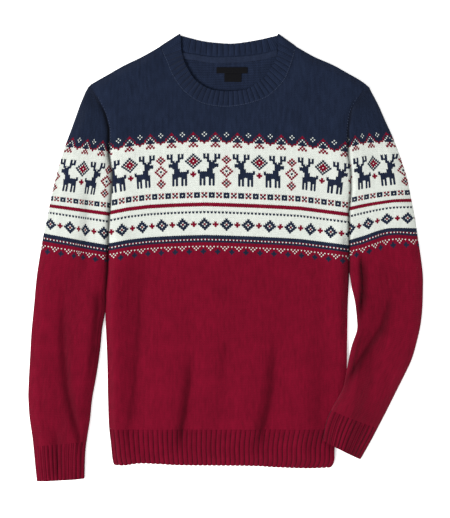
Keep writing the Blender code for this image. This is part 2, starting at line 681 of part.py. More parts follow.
def build_all():
    """Every piece of the sweater."""
    for old in list(bpy.data.objects):
        bpy.data.objects.remove(old)
    navy, wine = material("navy_knit", NAVY), material("wine_knit", WINE)
    ivory, black = material("patterned_knit", IVORY), material("black_woven", BLACK)
    build_back(ivory)
    build_front(ivory)
    build_hem_back(wine)
    build_hem_front(wine)
    left = (SIDE_LEFT, INNER_LEFT, OUTER_LEFT, ROWS_LEFT, CUFF_LEFT)
    right = (SIDE_RIGHT, INNER_RIGHT, OUTER_RIGHT, ROWS_RIGHT, CUFF_RIGHT)
    build_sleeve("sleeve_left", *left, LEFT_FOLDS, -1, False, ivory)
    build_sleeve("sleeve_right", *right, RIGHT_FOLDS, 1, True, ivory)
    build_cuff("cuff_left", *left, LEFT_FOLDS, -1, False, wine)
    build_cuff("cuff_right", *right, RIGHT_FOLDS, 1, True, wine)
    build_neckband(navy)
    build_tape(navy)
    build_plate("neck_label", LABEL, black)
    build_plate("size_tab", SIZE_TAB, black)


build_all()
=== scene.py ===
"""Patterned crew-neck sweater, laid flat with its front up.

Tables are in millimetres, on the model's own axes: X to the viewer's right, Y towards the neck, Z up.
Knit coordinates count stitches across (U) and rows down (R).
"""

from collections import namedtuple
from functools import partial

import bmesh
import bpy
import numpy as np
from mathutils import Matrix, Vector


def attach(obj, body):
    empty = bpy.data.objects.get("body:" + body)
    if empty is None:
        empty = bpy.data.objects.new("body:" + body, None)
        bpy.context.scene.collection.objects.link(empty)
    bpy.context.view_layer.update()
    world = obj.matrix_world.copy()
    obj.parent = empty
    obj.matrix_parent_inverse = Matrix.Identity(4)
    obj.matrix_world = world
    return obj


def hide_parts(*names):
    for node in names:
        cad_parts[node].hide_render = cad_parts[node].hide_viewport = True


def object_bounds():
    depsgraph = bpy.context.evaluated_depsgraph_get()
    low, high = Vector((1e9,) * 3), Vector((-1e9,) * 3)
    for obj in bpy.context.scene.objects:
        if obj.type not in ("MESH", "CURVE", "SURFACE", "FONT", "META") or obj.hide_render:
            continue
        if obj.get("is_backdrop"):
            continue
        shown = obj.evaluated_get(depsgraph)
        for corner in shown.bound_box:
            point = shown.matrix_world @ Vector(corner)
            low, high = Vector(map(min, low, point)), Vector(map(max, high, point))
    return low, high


# the walls, the stack of back and front, and the front's loft over the back
MM = 0.001
WALL = 2.8
BAND_WALL = 2.6
SEAM = 0.3
TRIM_WALL = 0.9
RIM_WALL = 1.5
BACK_TOP = WALL
REST = BACK_TOP + SEAM
LOFT = 5.0
SIDE_LOFT = 3.0
SIDE_REACH = 22.0
ARMHOLE_DIP = 1.2
HEM_SEAM = -283.0
HEM_PUFF = 1.4
HEM_BOTTOM = -345.0
PRESSED = 3.6
PRESSED_SHARE = 0.85
PRESS_X = (120.0, 40.0)
PRESS_Y = (-110.0, 50.0)
SIDES_BELOW = 30.0
ARMHOLES_ABOVE = 20.0
EDGE_REACH = 14.0
HEM_EDGE = 0.3
HEM_EDGE_REACH = 22.0
HEM_CALM = 70.0
SIDE_SWELL = 16.0
SHOULDER_LOFT = 0.9
DIP_REACH = 9.0
SLEEVE_HEAD_LOFT = 1.2
SLEEVE_HEAD = (20.0, 12.0, 60.0)
HEM_SWELL = (18.0, 13.0)
NECK_REACH = 11.0
NECK_END_REACH = 14.0
NECK_END_LONG = 36.0
THIN_REACH = 8.0
BACK_CALM = 12.0

# folds, and the painted shade that darkens the knit in their creases and along the seams
FOLD_FADE = 0.3
ROLL_LIMIT = 20.0
CREASE_EDGE = 3.5
CREASE_REACH = 0.7
DEEP = 5.0
DARKEST = 2.4

# how finely the pieces are divided
FRONT_ROWS = 150
FRONT_SHOULDER_COLUMNS = 26
FRONT_NECK_COLUMNS = 76
BACK_ROWS = 80
BACK_SHOULDER_COLUMNS = 10
BACK_NECK_COLUMNS = 40
CAD_ROWS = 28
CAD_ARMPIT_ROW = 13
SLEEVE_FINENESS = 6
SLEEVE_TOP_POINTS = 38
BUNCHED = 1.4
SLEEVE_UNDER_POINTS = 16
HEM_ROWS = 16
CUFF_ROWS = 14
CUFF_UNDER_POINTS = 20
RIB_POINTS = 8

# the tubes of the sleeves and cuffs
TUBE_WALL = 2.0
TUCK = 0.8
SEAM_ROLL_LEFT = 13.0
SEAM_ROLL_RIGHT = 8.0
SEAM_BLEND_ROWS = 14
TUBE_HEIGHT = 7.6
TUBE_FOLD = 6.0
TUBE_FOLD_SHARE = 0.45
TUBE_INSET_SHARE = 0.6
TUBE_GAP = 0.5
NEARLY = 0.001
TUBE_NARROW = (30.0, 20.0)
TUBE_WAVER = 0.7
FAR_CALM = (3.0, 10.0)
NEAR_CALM = (2.0, 12.0)
ARMPIT_FOLD = 0.8
TUBE_LOFT = 4.2
TUBE_RAMP = 20.0
OVERLAP_LIFT = 9.0
OVERLAP_MARGIN = 12.0
OVERLAP_REACH = 34.0
OVERLAP_TOP = (-100.0, -158.0)
CLEAR_OF_SIDE = -0.3
FREE_BELOW = -2 * OVERLAP_REACH

# the ribs and the neckband
RIB_RAISE = 1.5
RIB_SUNK = 0.6
RIB_START = 3.0
SCALLOP = 1.0
HEM_RIBS = 47
HEM_END = 0.02
HEM_SPAN_AT = -335.0
CUFF_RIBS = 11
BAND_RIBS_FRONT = 36
BAND_RIBS_BACK = 18
BAND_ACROSS = 10
BAND_STITCHES = 10
BAND_ROUND = (0.35, 0.15)
BAND_FRONT_END = 0.09
BAND_BACK_END = 0.12
BAND_END_RIBS = 0.4
BAND_BULGE = 0.5
BAND_FOLD_MID = 5.3
BAND_THIN = 0.75
BAND_MID = 8.0
BAND_ARCH = 0.5
BAND_DROP = 1.4
BAND_DEPTH = 28.0
BAND_TUCK = 0.2

# x, y from the shoulder point up to the neckband seam
SHOULDER_LEFT = ((-223, 284), (-211, 291), (-195, 300), (-169, 315), (-138, 330), (-108, 347))
SHOULDER_RIGHT = ((232, 284), (222, 291), (203, 302), (176, 317), (146, 330), (116, 347))

# x, y along the front and back neckband seams, left to right
NECK_FRONT = (
    (-108, 347), (-103, 334), (-97, 321), (-89, 301), (-75, 279), (-59, 264), (-40, 253), (-15, 247.5),
    (7, 247), (29, 250), (51, 256), (68, 263), (84, 276), (98, 293), (106, 312), (112, 330), (116, 347),
)
NECK_BACK = (
    (-108, 347), (-69, 338), (-50, 335), (-24, 331), (7, 331), (39, 333), (64, 337), (83, 342),
    (116, 347),
)

# x, y along the free edge of the neckband, front half and back half, left to right
BAND_FRONT = (
    (-74, 365.5), (-74, 358), (-73, 340), (-69, 324), (-62, 309), (-53, 295), (-42, 285), (-27, 277),
    (-12, 274), (5, 273), (20, 274), (36, 277), (49, 285), (63, 295), (74, 312), (82, 324), (86, 340),
    (86, 358), (85, 365.5),
)
BAND_BACK = (
    (-74, 365.5), (-58, 361), (-37, 356), (-12, 353), (11, 352), (36, 355), (58, 359), (71, 362),
    (85, 365.5),
)

# share of the seam's length, share of the free edge's length at the same rib
BAND_MATCH = (
    (0, 0), (0.07, 0.11), (0.15, 0.175), (0.25, 0.275), (0.35, 0.36), (0.5, 0.5),
    (0.65, 0.64), (0.75, 0.725), (0.85, 0.825), (0.93, 0.89), (1, 1),
)

# x of a back rib at the free edge, x of the same rib at the seam
BAND_BACK_MATCH = (
    (-74, -108), (-68, -84), (-60, -66), (-50, -52), (0, 0), (58, 61), (70, 78), (78, 94), (85, 116),
)

# x, y from the shoulder point down the armhole, the side and the hem's side
SIDE_LEFT = (
    (-223, 284), (-213, 266), (-198, 236), (-192, 212), (-191.4, 190), (-191.6, 168), (-189.4, 156),
    (-187, 142), (-187, 118), (-188.3, 100), (-189.8, 82), (-191, 68), (-192, 45), (-193.2, 20),
    (-193.2, -3), (-194.5, -22), (-195.8, -40), (-197.2, -55), (-198.2, -75), (-198, -100), (-197, -123),
    (-195, -172), (-194, -226), (-192.4, -275), (-189, -308), (-186, -335), (-182, -344),
)
SIDE_RIGHT = (
    (232, 284), (217, 261), (206, 239), (202, 212), (201.4, 182), (202.4, 165), (205.8, 148), (206.8, 122),
    (205.6, 100), (203.6, 82), (203.2, 60), (203.3, 30), (203.6, -3), (203.4, -25), (203.2, -38),
    (202.2, -56), (201, -85), (200, -156), (199, -203), (194, -252), (187, -282), (180, -311), (179, -335),
    (173, -347),
)

# x, y down the outer edge of each sleeve and its cuff
OUTER_LEFT = (
    (-227, 279), (-231, 272), (-239, 253), (-248, 228), (-256, 206), (-265, 182), (-273, 156), (-281, 127),
    (-288, 97), (-293, 70), (-299, 43), (-307, -3), (-312, -38), (-316, -82), (-320, -123), (-322, -158),
    (-325, -215), (-325, -237), (-323, -265), (-318, -300), (-314, -341), (-311, -369),
)
OUTER_RIGHT = (
    (237, 279), (241, 271), (252, 250), (263, 225), (274, 201), (284, 176), (292, 152), (299, 130),
    (305, 100), (311, 70), (316, 37), (322, -3), (325, -30), (325, -57), (324, -85), (321, -112),
    (315, -139), (308, -164), (300, -183), (288, -207), (274, -235), (262, -259), (250, -282),
    (239, -303), (222, -333),
)

# x, y down the inner edge of each sleeve and its cuff, from the armpit
INNER_LEFT = (
    (-192.4, 22), (-192.4, -3), (-194.4, -46), (-197.3, -79), (-198.6, -93), (-203, -117), (-207, -156),
    (-213, -196), (-220, -235), (-223, -265), (-228, -297), (-231, -322), (-232.5, -364.5),
)
INNER_RIGHT = (
    (202.3, 22), (201.6, 4), (202.4, -18), (205.4, -36), (207.6, -50), (213, -74), (216, -101),
    (216, -120), (207, -145), (201, -172), (194, -210), (187, -226), (173, -251), (164, -275), (160, -301),
)

# y of a knitted row where it meets the body or the inner edge, y of that row at the outer edge
ROWS_LEFT = (
    (284, 279), (266, 271), (236, 243), (212, 219), (173, 181), (71, 84), (17, 33), (-46, -33),
    (-120, -113), (-203, -203), (-303, -311), (-364.5, -369),
)
ROWS_RIGHT = (
    (284, 279), (261, 268), (240, 248), (212, 223), (179, 192), (80, 93), (24, 42), (-5, 14), (-29, -16),
    (-54, -49), (-79, -85), (-100, -119), (-120, -150), (-145, -178), (-172, -205), (-210, -240),
    (-226, -259), (-251, -282), (-301, -333),
)

# y of the cuff seam and of the cuff's end at the inner edge
CUFF_LEFT = (-303, -364.5)
CUFF_RIGHT = (-251, -301)

# x, y along the bottom of the hem
HEM = (
    (-186, -342), (-168, -342), (-143, -339), (-111, -340), (-73, -342), (40, -343), (81, -345),
    (135, -347), (175, -346),
)

# the line of each fold from its top, its height at the top and at the bottom (below zero for a trough),
# and how far it reaches on its left and right hand as one walks down it. The cloth beside a trough rolls
# over and drops ever steeper where the reach is under ROLL_LIMIT, and is a soft slope where it is wider
BODY_FOLDS = (
    (((-136, 20), (-140, -50), (-146, -137), (-150, -203), (-156, -252), (-162, -288), (-167, -331)), -3.4,
     -4.8, 30, 20),
    (((-56, -150), (-58, -193), (-62, -229), (-66, -259), (-72, -288), (-79, -330)), -3.6, -6.0, 34, 14),
    (((81, -120), (78, -186), (76, -219), (70, -252), (62, -282), (53, -331)), -3.0, -5.4, 34, 18),
    (((1, -130), (-3, -170), (-6, -215)), -1.5, -1.5, 24, 14),
    (((158, -215), (155, -245), (151, -280)), -1.4, -1.8, 24, 12),
    (((-118, -20), (-126, -140), (-136, -262)), 0.8, 1.4, 14, 14),
    (((-38, -150), (-46, -220), (-58, -285)), 0.6, 1.0, 16, 14),
    (((112, -110), (101, -190), (88, -262)), 0.6, 1.0, 16, 14),
    (((30, -60), (26, -160), (22, -250)), 0.8, 1.2, 22, 22),
    (((-70, 212), (0, 206), (70, 210)), 0.8, 0.8, 26, 26),
    (((-150, 260), (-160, 200), (-165, 140)), 1.2, 0.8, 14, 14),
    (((160, 262), (168, 200), (172, 140)), 1.2, 0.8, 14, 14),
)
LEFT_FOLDS = (
    (((-264, -20), (-268, -100), (-266, -161), (-260, -219), (-251, -260), (-235, -311), (-229, -360)),
     -3.2, -6.0, 14, 12),
    (((-279, -270), (-277, -320), (-274, -372)), -2.6, -3.0, 12, 12),
    (((-229, 150), (-230, 40), (-232, -50)), -1.6, -1.6, 24, 14),
    (((-206, -40), (-210, -100), (-216, -160), (-224, -215)), -3.6, -3.4, 14, 11),
    (((-292, -150), (-290, -220), (-282, -290)), 1.0, 1.2, 12, 12),
)
RIGHT_FOLDS = (
    (((222, 20), (226, -37), (226, -62), (221, -86), (214, -112)), -6.4, -7.4, 13, 9),
    (((278, -30), (272, -60), (257, -112), (241, -137), (219, -170), (199, -200), (181, -225)), -4.8, -8.4,
     14, 22),
    (((284, -124), (252, -176), (224, -222)), 1.0, 1.4, 12, 12),
    (((300, 40), (306, -40), (298, -110)), 0.8, 0.8, 16, 16),
    (((248, 60), (256, 0), (262, -60)), 0.8, 1.0, 14, 14),
)

# the valley along each armhole seam and on down between the side and the sleeve, in the same columns
ARM_LEFT = (
    (-198, 236), (-192, 212), (-191.5, 168), (-187, 142), (-187, 118), (-191, 68), (-193.2, 20),
    (-194.5, -22), (-197.2, -55), (-198, -100),
)
ARM_RIGHT = (
    (202, 212), (202, 168), (206.5, 144), (206.5, 110), (203.4, 78), (203.3, -3), (203, -38), (201, -85),
)
SEAM_VALLEYS = (
    (((-223, 284), (-213, 266), *ARM_LEFT, (-197, -160)), -3.4, -6.4, 4, 9),
    (((232, 284), (217, 261), (206, 239), *ARM_RIGHT, (200, -140)), -3.0, -6.0, 3, 6),
)

# the painted shade down in those valleys, in the same columns
SEAM_SHADES = (
    (((-223, 284), (-212, 264), *ARM_LEFT[:3], (-187, 135)), -8, -8, 2.2, 6),
    (((219, 270), (207, 246), (202, 212), (202, 180), (206, 150)), -7, -7, 2.2, 4.2),
    (((-212, 264), *ARM_LEFT, (-197, -130)), -9, -14, 2.4, 6),
    (((210, 250), *ARM_RIGHT, (200, -120)), -8, -16, 2.6, 4.2),
)

# the smaller creases, uneven in length, depth and spacing, in the same columns
BODY_CREASES = (
    (((-176, 190), (-150, 120)), -0.7, -0.5, 9, 9), (((-182, 120), (-160, 40)), -0.6, -0.6, 8, 8),
    (((-168, 60), (-150, -20)), 0.6, 0.6, 10, 10), (((188, 200), (160, 140)), -0.7, -0.6, 9, 9),
    (((190, 120), (165, 60)), -0.5, -0.5, 8, 8), (((184, 40), (170, -40)), 0.5, 0.5, 9, 9),
    (((-100, 20), (-108, -90)), -0.6, -0.6, 14, 14), (((60, 60), (52, -60)), -0.5, -0.5, 18, 18),
    (((-20, 120), (-30, 10)), 0.5, 0.5, 20, 20), (((128, 20), (120, -90)), -0.6, -0.6, 14, 14),
    (((-98, -225), (-108, -300)), -0.8, -1.2, 6, 8), (((-28, -205), (-34, -290)), -0.6, -0.9, 8, 8),
    (((22, -210), (16, -300)), 0.6, 0.6, 7, 7), (((118, -190), (108, -300)), -0.7, -1.0, 7, 9),
    (((-118, -200), (-124, -300)), 0.7, 0.9, 7, 7), (((-140, 240), (-120, 190)), -0.5, -0.5, 12, 12),
    (((140, 250), (126, 200)), -0.5, -0.5, 12, 12),
)
BACK_CREASES = (
    (((-150, 40), (-158, -100), (-165, -220)), 0.9, 1.0, 15, 12),
    (((-60, -120), (-84, -285)), 0.8, 1.0, 10, 8),
    (((84, -100), (60, -270)), 0.9, 0.9, 13, 9), (((10, 60), (4, -140)), 0.7, 0.5, 20, 16),
    (((150, 140), (160, -60)), 0.6, 0.6, 14, 14), (((-90, 220), (90, 205)), 0.6, 0.6, 22, 22),
)
LEFT_CREASES = (
    (((-240, 240), (-262, 150)), -0.8, -0.6, 8, 8), (((-214, 190), (-232, 90)), 0.6, 0.6, 8, 8),
    (((-285, 40), (-296, -60)), -0.9, -0.7, 8, 10), (((-304, -150), (-300, -280)), -0.9, -0.9, 7, 9),
    (((-250, -235), (-262, -300)), 0.8, 0.8, 6, 6), (((-246, 20), (-250, -60)), -0.7, -0.7, 9, 9),
)
RIGHT_CREASES = (
    (((248, 236), (268, 150)), -0.8, -0.6, 8, 8), (((224, 190), (236, 90)), 0.6, 0.6, 8, 8),
    (((290, 80), (300, -20)), -0.9, -0.7, 8, 10), (((236, -2), (262, -26)), -1.0, -0.8, 7, 9),
    (((276, -190), (250, -240)), -0.8, -0.7, 7, 9), (((250, -60), (276, -86)), -1.0, -0.6, 7, 7),
)

# the broad soft hollows, which are painted shade only: their lines, how much darker the painted shade leaves
# the knit at their tops and bottoms, as a share, and how far they reach on their left and right hand.
# Their last lines paint shade along the body's left side and the left sleeve's outer edge
BODY_PAINTED_SHADE = (
    (((-140, 40), (-141, -46), (-141, -112), (-145, -150), (-148, -244), (-164, -277), (-170, -320)), 0.11,
     0.10, 14, 44),
    (((9, 20), (9, -46), (6, -145), (-3, -178), (-12, -211), (-16, -244), (-24, -277), (-28, -310)), 0.05,
     0.14, 18, 24),
    (((-66, -40), (-64, -130), (-60, -178), (-62, -225), (-72, -277), (-78, -310)), 0.05, 0.12, 12, 26),
    (((78, 10), (78, -112), (78, -165), (76, -203), (68, -250), (56, -285), (50, -310)), 0.05, 0.13, 26, 20),
    (((156, 20), (156, -112), (159, -178), (158, -211), (155, -244), (151, -300)), 0.06, 0.18, 15, 22),
    (((-198, -80), (-197, -123), (-195, -172), (-194, -226), (-192, -275), (-186, -335)), 0.10, 0.16, 9, 9),
)
LEFT_PAINTED_SHADE = (
    (((-262, 20), (-264, -37), (-268, -104), (-270, -153), (-264, -203), (-258, -250), (-246, -290)), 0.08,
     0.05, 16, 18),
    (((-300, -100), (-300, -153), (-299, -220), (-293, -285), (-288, -330)), 0.06, 0.11, 26, 14),
    (((-212, -40), (-211, -80), (-210, -104), (-212, -136), (-216, -170), (-221, -219), (-227, -255)), 0.24,
     0.18, 10, 14),
    (OUTER_LEFT, 0.14, 0.14, 9, 9),
)
RIGHT_PAINTED_SHADE = (
    (((224, 0), (226, -37), (226, -62), (221, -84), (216, -104)), 0.16, 0.22, 10, 14),
    (((280, 10), (278, -12), (274, -50), (266, -84), (254, -115), (241, -137), (219, -170), (199, -200)),
     0.14, 0.10, 20, 26),
    (((246, -232), (238, -262), (228, -290)), 0.12, 0.10, 14, 20),
    (((215, -240), (210, -255), (199, -310)), 0.08, 0.10, 11, 9),
    (((185, -240), (178, -262), (168, -300)), 0.10, 0.14, 7, 7),
)
PAINTED_SHADE_TABLES = ((BODY_FOLDS, BODY_PAINTED_SHADE), (LEFT_FOLDS, LEFT_PAINTED_SHADE), (RIGHT_FOLDS, RIGHT_PAINTED_SHADE))
PAINTED_SHADE_FADE = 0.2

# x0, y0, x1, y1 of the bare label and of the bare size tab under it
LABEL = (-15.0, 303.0, 36.0, 313.0)
SIZE_TAB = (-2.0, 289.0, 26.0, 302.7)
PLATE_EDGE = 0.8
PLATE_RIM = 0.75

# how far the front settles down to the neckband, and how much further beside the shoulders
NECK_SETTLE = 1.5
NECK_END_SETTLE = 3.2

# the linking stitches: their number at the neck, the heights they span beside the armholes, and their size
NECK_LINKS = 108
ARMHOLE_LINKS = (142.0, 262.0, 4.6)
LINK_ASIDE = 2.2
LINK_LONG = 1.15
LINK_THICK = 0.42
LINK_IN = 1.4
LINK_OVER_BAND = 0.4
LINK_OVER_FRONT = 0.1

# the tape over the back neckline seam
TAPE_ENDS = (-72.0, 85.0)
TAPE_DEPTH = 9.5
TAPE_DOWN = 1.2
TAPE_ARCH = 0.25
TAPE_STITCH = 2.4

# colours of the yarns, linear
NAVY = (0.0112, 0.0173, 0.0378)
CREAM = (0.665, 0.700, 0.645)
RED = (0.167, 0.0027, 0.0166)
RIB_RED = (0.146, 0.0025, 0.0152)
TAPE = (0.0165, 0.0240, 0.0490)
BLACK = (0.004, 0.004, 0.005)
THREAD = (0.05, 0.064, 0.105)

# knit rows: where row 0 lies, how high a row is, and how far it sinks towards the sides
BODY_ROW_TOP = 205.8
BODY_ROW = 2.805
BODY_SAG = (
    (-188, 13.0), (-160, 7.6), (-127, 3.6), (-97, 1.8), (-65, 0.5), (-34, -0.3), (-3, 0.5), (47, 2.3),
    (93, 4.5), (124, 6.4), (157, 10.7), (200, 16.3),
)

# x, stitch number across the body
BODY_STITCHES = (
    (-220, -74.5), (-157.7, -54), (-106.8, -36), (-53.2, -18), (1.4, 0), (55.4, 18), (109, 36), (160, 54),
    (230, 77),
)
NARROWING = 0.0375
NARROW_ROWS = (50, 60)

# distance from the middle, share by which the knit is drawn in beside the arms, and the rows over which
SIDE_NARROWING = ((0, 0), (83, 0), (102, 0.009), (132, 0.02), (157, 0.029), (185, 0.032), (230, 0.032))
SIDE_NARROW_ROWS = (13, 39)

# even row, row as knitted
BODY_ROWS = ((-400, -400.3), (8, 7.7), (13, 12.75), (23, 23.3), (32, 32.2), (38, 38), (400, 400))

# row of the sleeve, then share of the way to the outer edge and stitch number
SLEEVE_ROW = 2.76
LEFT_ROW_AT = (42.5, 71.0)
RIGHT_ROW_AT = (42.5, 79.6)
LEFT_STITCHES = (
    (3, ((0, 0), (0.155, -6), (0.37, -12), (0.515, -18), (0.71, -24), (0.871, -30), (1, -34))),
    (14, ((0, 2), (0.052, 0), (0.15, -5), (0.415, -13), (0.53, -18), (0.67, -23), (0.945, -31),
          (1, -32.6))),
    (20, ((0, 3.5), (0.089, 0), (0.186, -3), (0.309, -8.5), (0.538, -18), (0.83, -27.5), (0.954, -33),
          (1, -35))),
    (29, ((0, 5), (0.115, 0), (0.252, -5), (0.533, -18), (0.868, -31), (1, -36.3))),
    (37, ((0, 5), (0.12, 0), (0.234, -4), (0.334, -8), (0.407, -12), (0.478, -16), (0.578, -20),
          (0.685, -24), (0.794, -28), (0.904, -32), (1, -36.2))),
    (64, ((0, 2), (0.077, -1), (0.189, -5), (0.282, -9), (0.371, -13), (0.433, -17), (0.5, -21),
          (0.586, -25), (0.696, -29), (0.79, -33), (0.893, -37), (1, -41.4))),
)
RIGHT_STITCHES = (
    (3, ((0, 0), (0.168, 6), (0.335, 12), (0.503, 18), (0.665, 24), (0.887, 30), (1, 33.2))),
    (14, ((0, 1.2), (0.135, 5), (0.355, 13), (0.465, 18), (0.6, 23), (0.922, 31), (1, 33.2))),
    (20, ((0, 3.2), (0.06, 4.3), (0.187, 8.5), (0.425, 18), (0.735, 27.5), (0.88, 33), (0.975, 36),
          (1, 36.7))),
    (29, ((0, 3), (0.086, 5), (0.43, 18), (0.817, 31), (0.956, 36), (1, 37.5))),
    (37, ((0, 1), (0.076, 4), (0.175, 8), (0.27, 12), (0.374, 16), (0.491, 20), (0.605, 24), (0.725, 28),
          (0.839, 32), (0.958, 36), (1, 37.4))),
    (64, ((0, -1.8), (0.017, -1), (0.1025, 3), (0.188, 7), (0.283, 11), (0.374, 15), (0.447, 19), (0.52, 23),
          (0.631, 27), (0.723, 31), (0.808, 35), (0.92, 39), (1, 43))),
)

# even row of the sleeve, then share of the way to the outer edge and how many rows the knit is drawn up
LEFT_RISE = (
    (0, ((0, 0), (1, 0))),
    (8, ((0, -0.4), (1, -0.4))),
    (14, ((0, -0.85), (1, -0.85))),
    (32, ((0, -0.85), (1, -0.85))),
    (37, ((0, -0.6), (1, -0.8))),
    (42, ((0, 0), (1, 0.3))),
    (58, ((0, 0), (0.55, 0.5), (1, 1.3))),
    (64, ((0, -0.6), (0.25, -0.4), (0.6, 0.3), (0.85, 0.5), (1, 0.8))),
    (80, ((0, 0), (1, 0))),
)
RIGHT_RISE = (
    (0, ((0, 0), (0.35, 0), (0.6, -0.8), (0.9, -1), (1, -1))),
    (8, ((0, 0), (0.35, 0), (0.6, -0.8), (0.9, -1.2), (1, -1.2))),
    (14, ((0, -0.8), (0.38, -1.2), (0.5, -2), (0.63, -1.9), (1, -1.7))),
    (28, ((0, -0.6), (0.3, -1), (0.43, -1), (0.65, -1.4), (0.8, -0.9), (1, -0.8))),
    (37, ((0, -0.6), (1, -0.6))),
    (42, ((0, 0), (0.49, 0.25), (0.71, 0.7), (0.88, 0.5), (1, 0.4))),
    (58, ((0, 0), (0.26, 0.7), (0.45, 2), (0.58, 2.5), (0.8, 1.6), (1, 0.9))),
    (64, ((0, 0), (0.19, 0), (0.37, 1.1), (0.52, 2.1), (0.72, 2), (0.92, 0.4), (1, 0.2))),
    (80, ((0, 0), (1, 0))),
)
RIGHT_BOW = 1.1

# charts: the stitches of each row from a motif's middle to the next fold line, mirrored both ways.
# N is navy, R is red, and C or a dot is cream
ZIGZAG = (
    "RNNNNNC", "RRNNNCN", "CNRNNNC", "NCNRNNN", "NNCRNNN", "NNNCRRN", "RCCCCCR", "CRCCCCC", "RCRCCCC",
)
REINDEER = (
    "N.....N.N...N.N....",
    ".N....N.N...N.N...R",
    "R.N...NNN...NNN..R.",
    "RR.N....N...N...R.N",
    ".RR.N...NN.NN....R.",
    "RR.N.....NNN......R",
    "R.N......NNNNN.....",
    ".N.......NNNNN....R",
    "N........NNN.....R.",
    "........NNN.....R..",
    "...N....NNN....R..N",
    "R..NNNNNNNN.....R..",
    "RR..NNNNNNNN.....R.",
    "R...NNNNNNNN......R",
    "....NNN..NNN.......",
    "....N.N..N.N......R",
    "....N.N..N.N.....R.",
    "....N.N..N.N....R.N",
    "....N.N..N.N.....R.",
    "..................R",
)
CHECKER = ("NN.R.", "CN..N", "NN.R.")
ORNAMENT = ("N......", "NN.....", ".NN...R", "R.NN.RR", ".NN...R", "NN.....", "N......")
VEES = ("CRCRC", "RCRRR", "CRRRN", "RRRNN", "RRRRN")

PLAIN = (".",)
NAVY_ROW = ("NN",)
RED_ROW = ("RR",)

# how the charts go into the ramps of the material
ROWS_TO_A_RAMP = 32
RAMPS = 3
MASK_SCALE = 2 ** 19
CODE = 64

# the knit: how far painted shade darkens its creases, how far dark yarn swells over the cream, how rough
# yarns are
CREASE_SHADE = 0.36
BLEED = 0.17
NAVY_ROUGH = 1.45
RIB_ROUGH = 1.3
CREAM_ROUGH = 0.4
RED_LESS_ROUGH = -0.5
DARK_ROUGH = 1.4

# the form of a stitch: how steep its V is, the share of its legs in its height, how dark the painted shade in
# its grooves is, how the painted shade in the grooves between ribs brightens out and softens, and how much
# fuzz stands in the relief
VEE = 0.5
LEG_SHARE = 0.6
PAINTED_GROOVE_SHADE = 0.5
RIB_RISE = 2.2
RIB_SOFT = 0.2
FUZZ_RELIEF = 0.35

# strength and depth in metres of the reliefs
KNIT_RELIEF = (1.0, 0.0007)
WEAVE_RELIEF = (0.3, 0.0002)
WEAVE_SCALE = 1.2

# the shaders' constants
CLOTH_FINISH = {"Specular IOR Level": 0.03, "Sheen Roughness": 0.5}
KNIT_FINISH = {**CLOTH_FINISH, "Roughness": 1.0, "Sheen Weight": 0.04, "Sheen Tint": (0.9, 0.9, 1.0, 1)}
WOVEN_FINISH = {**CLOTH_FINISH, "Roughness": 0.6, "Sheen Weight": 0.0, "Sheen Tint": (1, 1, 1, 1)}
PAPER_FINISH = {
    "Base Color": (0.92, 0.92, 0.92, 1), "Roughness": 1.0, "Specular IOR Level": 0.0,
    "Emission Color": (1, 1, 1, 1), "Emission Strength": 0.45,
}

# the grain of the knit: how it is stretched, its scale, its detail, its gain and its base
FUZZ = (None, 3.1, 4.0, 0.42, 0.79)
MOTTLE = ((1, 0.25, 1), 0.62, 2.0, 0.44, 0.78)
STREAKS = ((0.9, 0.06, 1), 1.0, 2.0, 0.28, 0.86)
HAZE = (None, 0.09, 3.0, 0.24, 0.88)

# the squares that the colours bake to: x0, y0, width and height of the outside and the inside
TALL_BOXES = ((0.01, 0.01, 0.69, 0.98), (0.71, 0.01, 0.26, 0.98))
WIDE_BOXES = ((0.01, 0.50, 0.96, 0.48), (0.01, 0.01, 0.96, 0.24))
MARGIN = 0.01
RIM_STRIP = (0.985, 0.995)
TUBE_HALF = 0.485
TUBE_STRIP = 0.475
TUBE_OUTSIDE = (0.01, 0.8)
TUBE_INSIDE = (0.83, 0.15)
TURN_WEIGHT = 0.1
UNDER_WEIGHT = 0.5
BAND_STRIPS = (0.02, 0.14)
BAND_QUARTERS = 4
BAND_STRIP = (0.96, 0.24, 0.10)
SHARP = 50

# the stage: half the floor and its level, the sky, the lens, then name, place in metres, size and power
# of each lamp, and where the camera is
FLOOR = 30.0
FLOOR_LEVEL = -0.0004
SKY = 0.5
LENS = 100
LAMPS = (("key", (-3.9, -1.9, 4.3), 2.4, 560), ("fill", (2.4, 2.2, 4.6), 3.0, 70))
CAMERA = (-0.00107, -0.0029, 2.374)

# one side of the sweater, with the way it lies, whether the body carries it and how far its seam rolls
SIDE_FIELDS = "seam inner outer rows cuff stitches rises row_at bow folds creases way carried roll"
Side = namedtuple("Side", SIDE_FIELDS)
LEFT = Side(SIDE_LEFT, INNER_LEFT, OUTER_LEFT, ROWS_LEFT, CUFF_LEFT, LEFT_STITCHES, LEFT_RISE, LEFT_ROW_AT,
            0.0, LEFT_FOLDS, LEFT_CREASES, -1, False, SEAM_ROLL_LEFT)
RIGHT = Side(SIDE_RIGHT, INNER_RIGHT, OUTER_RIGHT, ROWS_RIGHT, CUFF_RIGHT, RIGHT_STITCHES, RIGHT_RISE,
             RIGHT_ROW_AT, RIGHT_BOW, RIGHT_FOLDS, RIGHT_CREASES, 1, True, SEAM_ROLL_RIGHT)
TURN = np.radians(np.linspace(0, 180, 9)[1:-1])


def smooth(value):
    """Rise from 0 to 1 with level ends."""
    t = np.clip(value, 0.0, 1.0)
    return t * t * (3 - 2 * t)


def bump(distance, width):
    """A soft hump, 1 high at distance 0."""
    return np.exp(-np.square(distance / width))


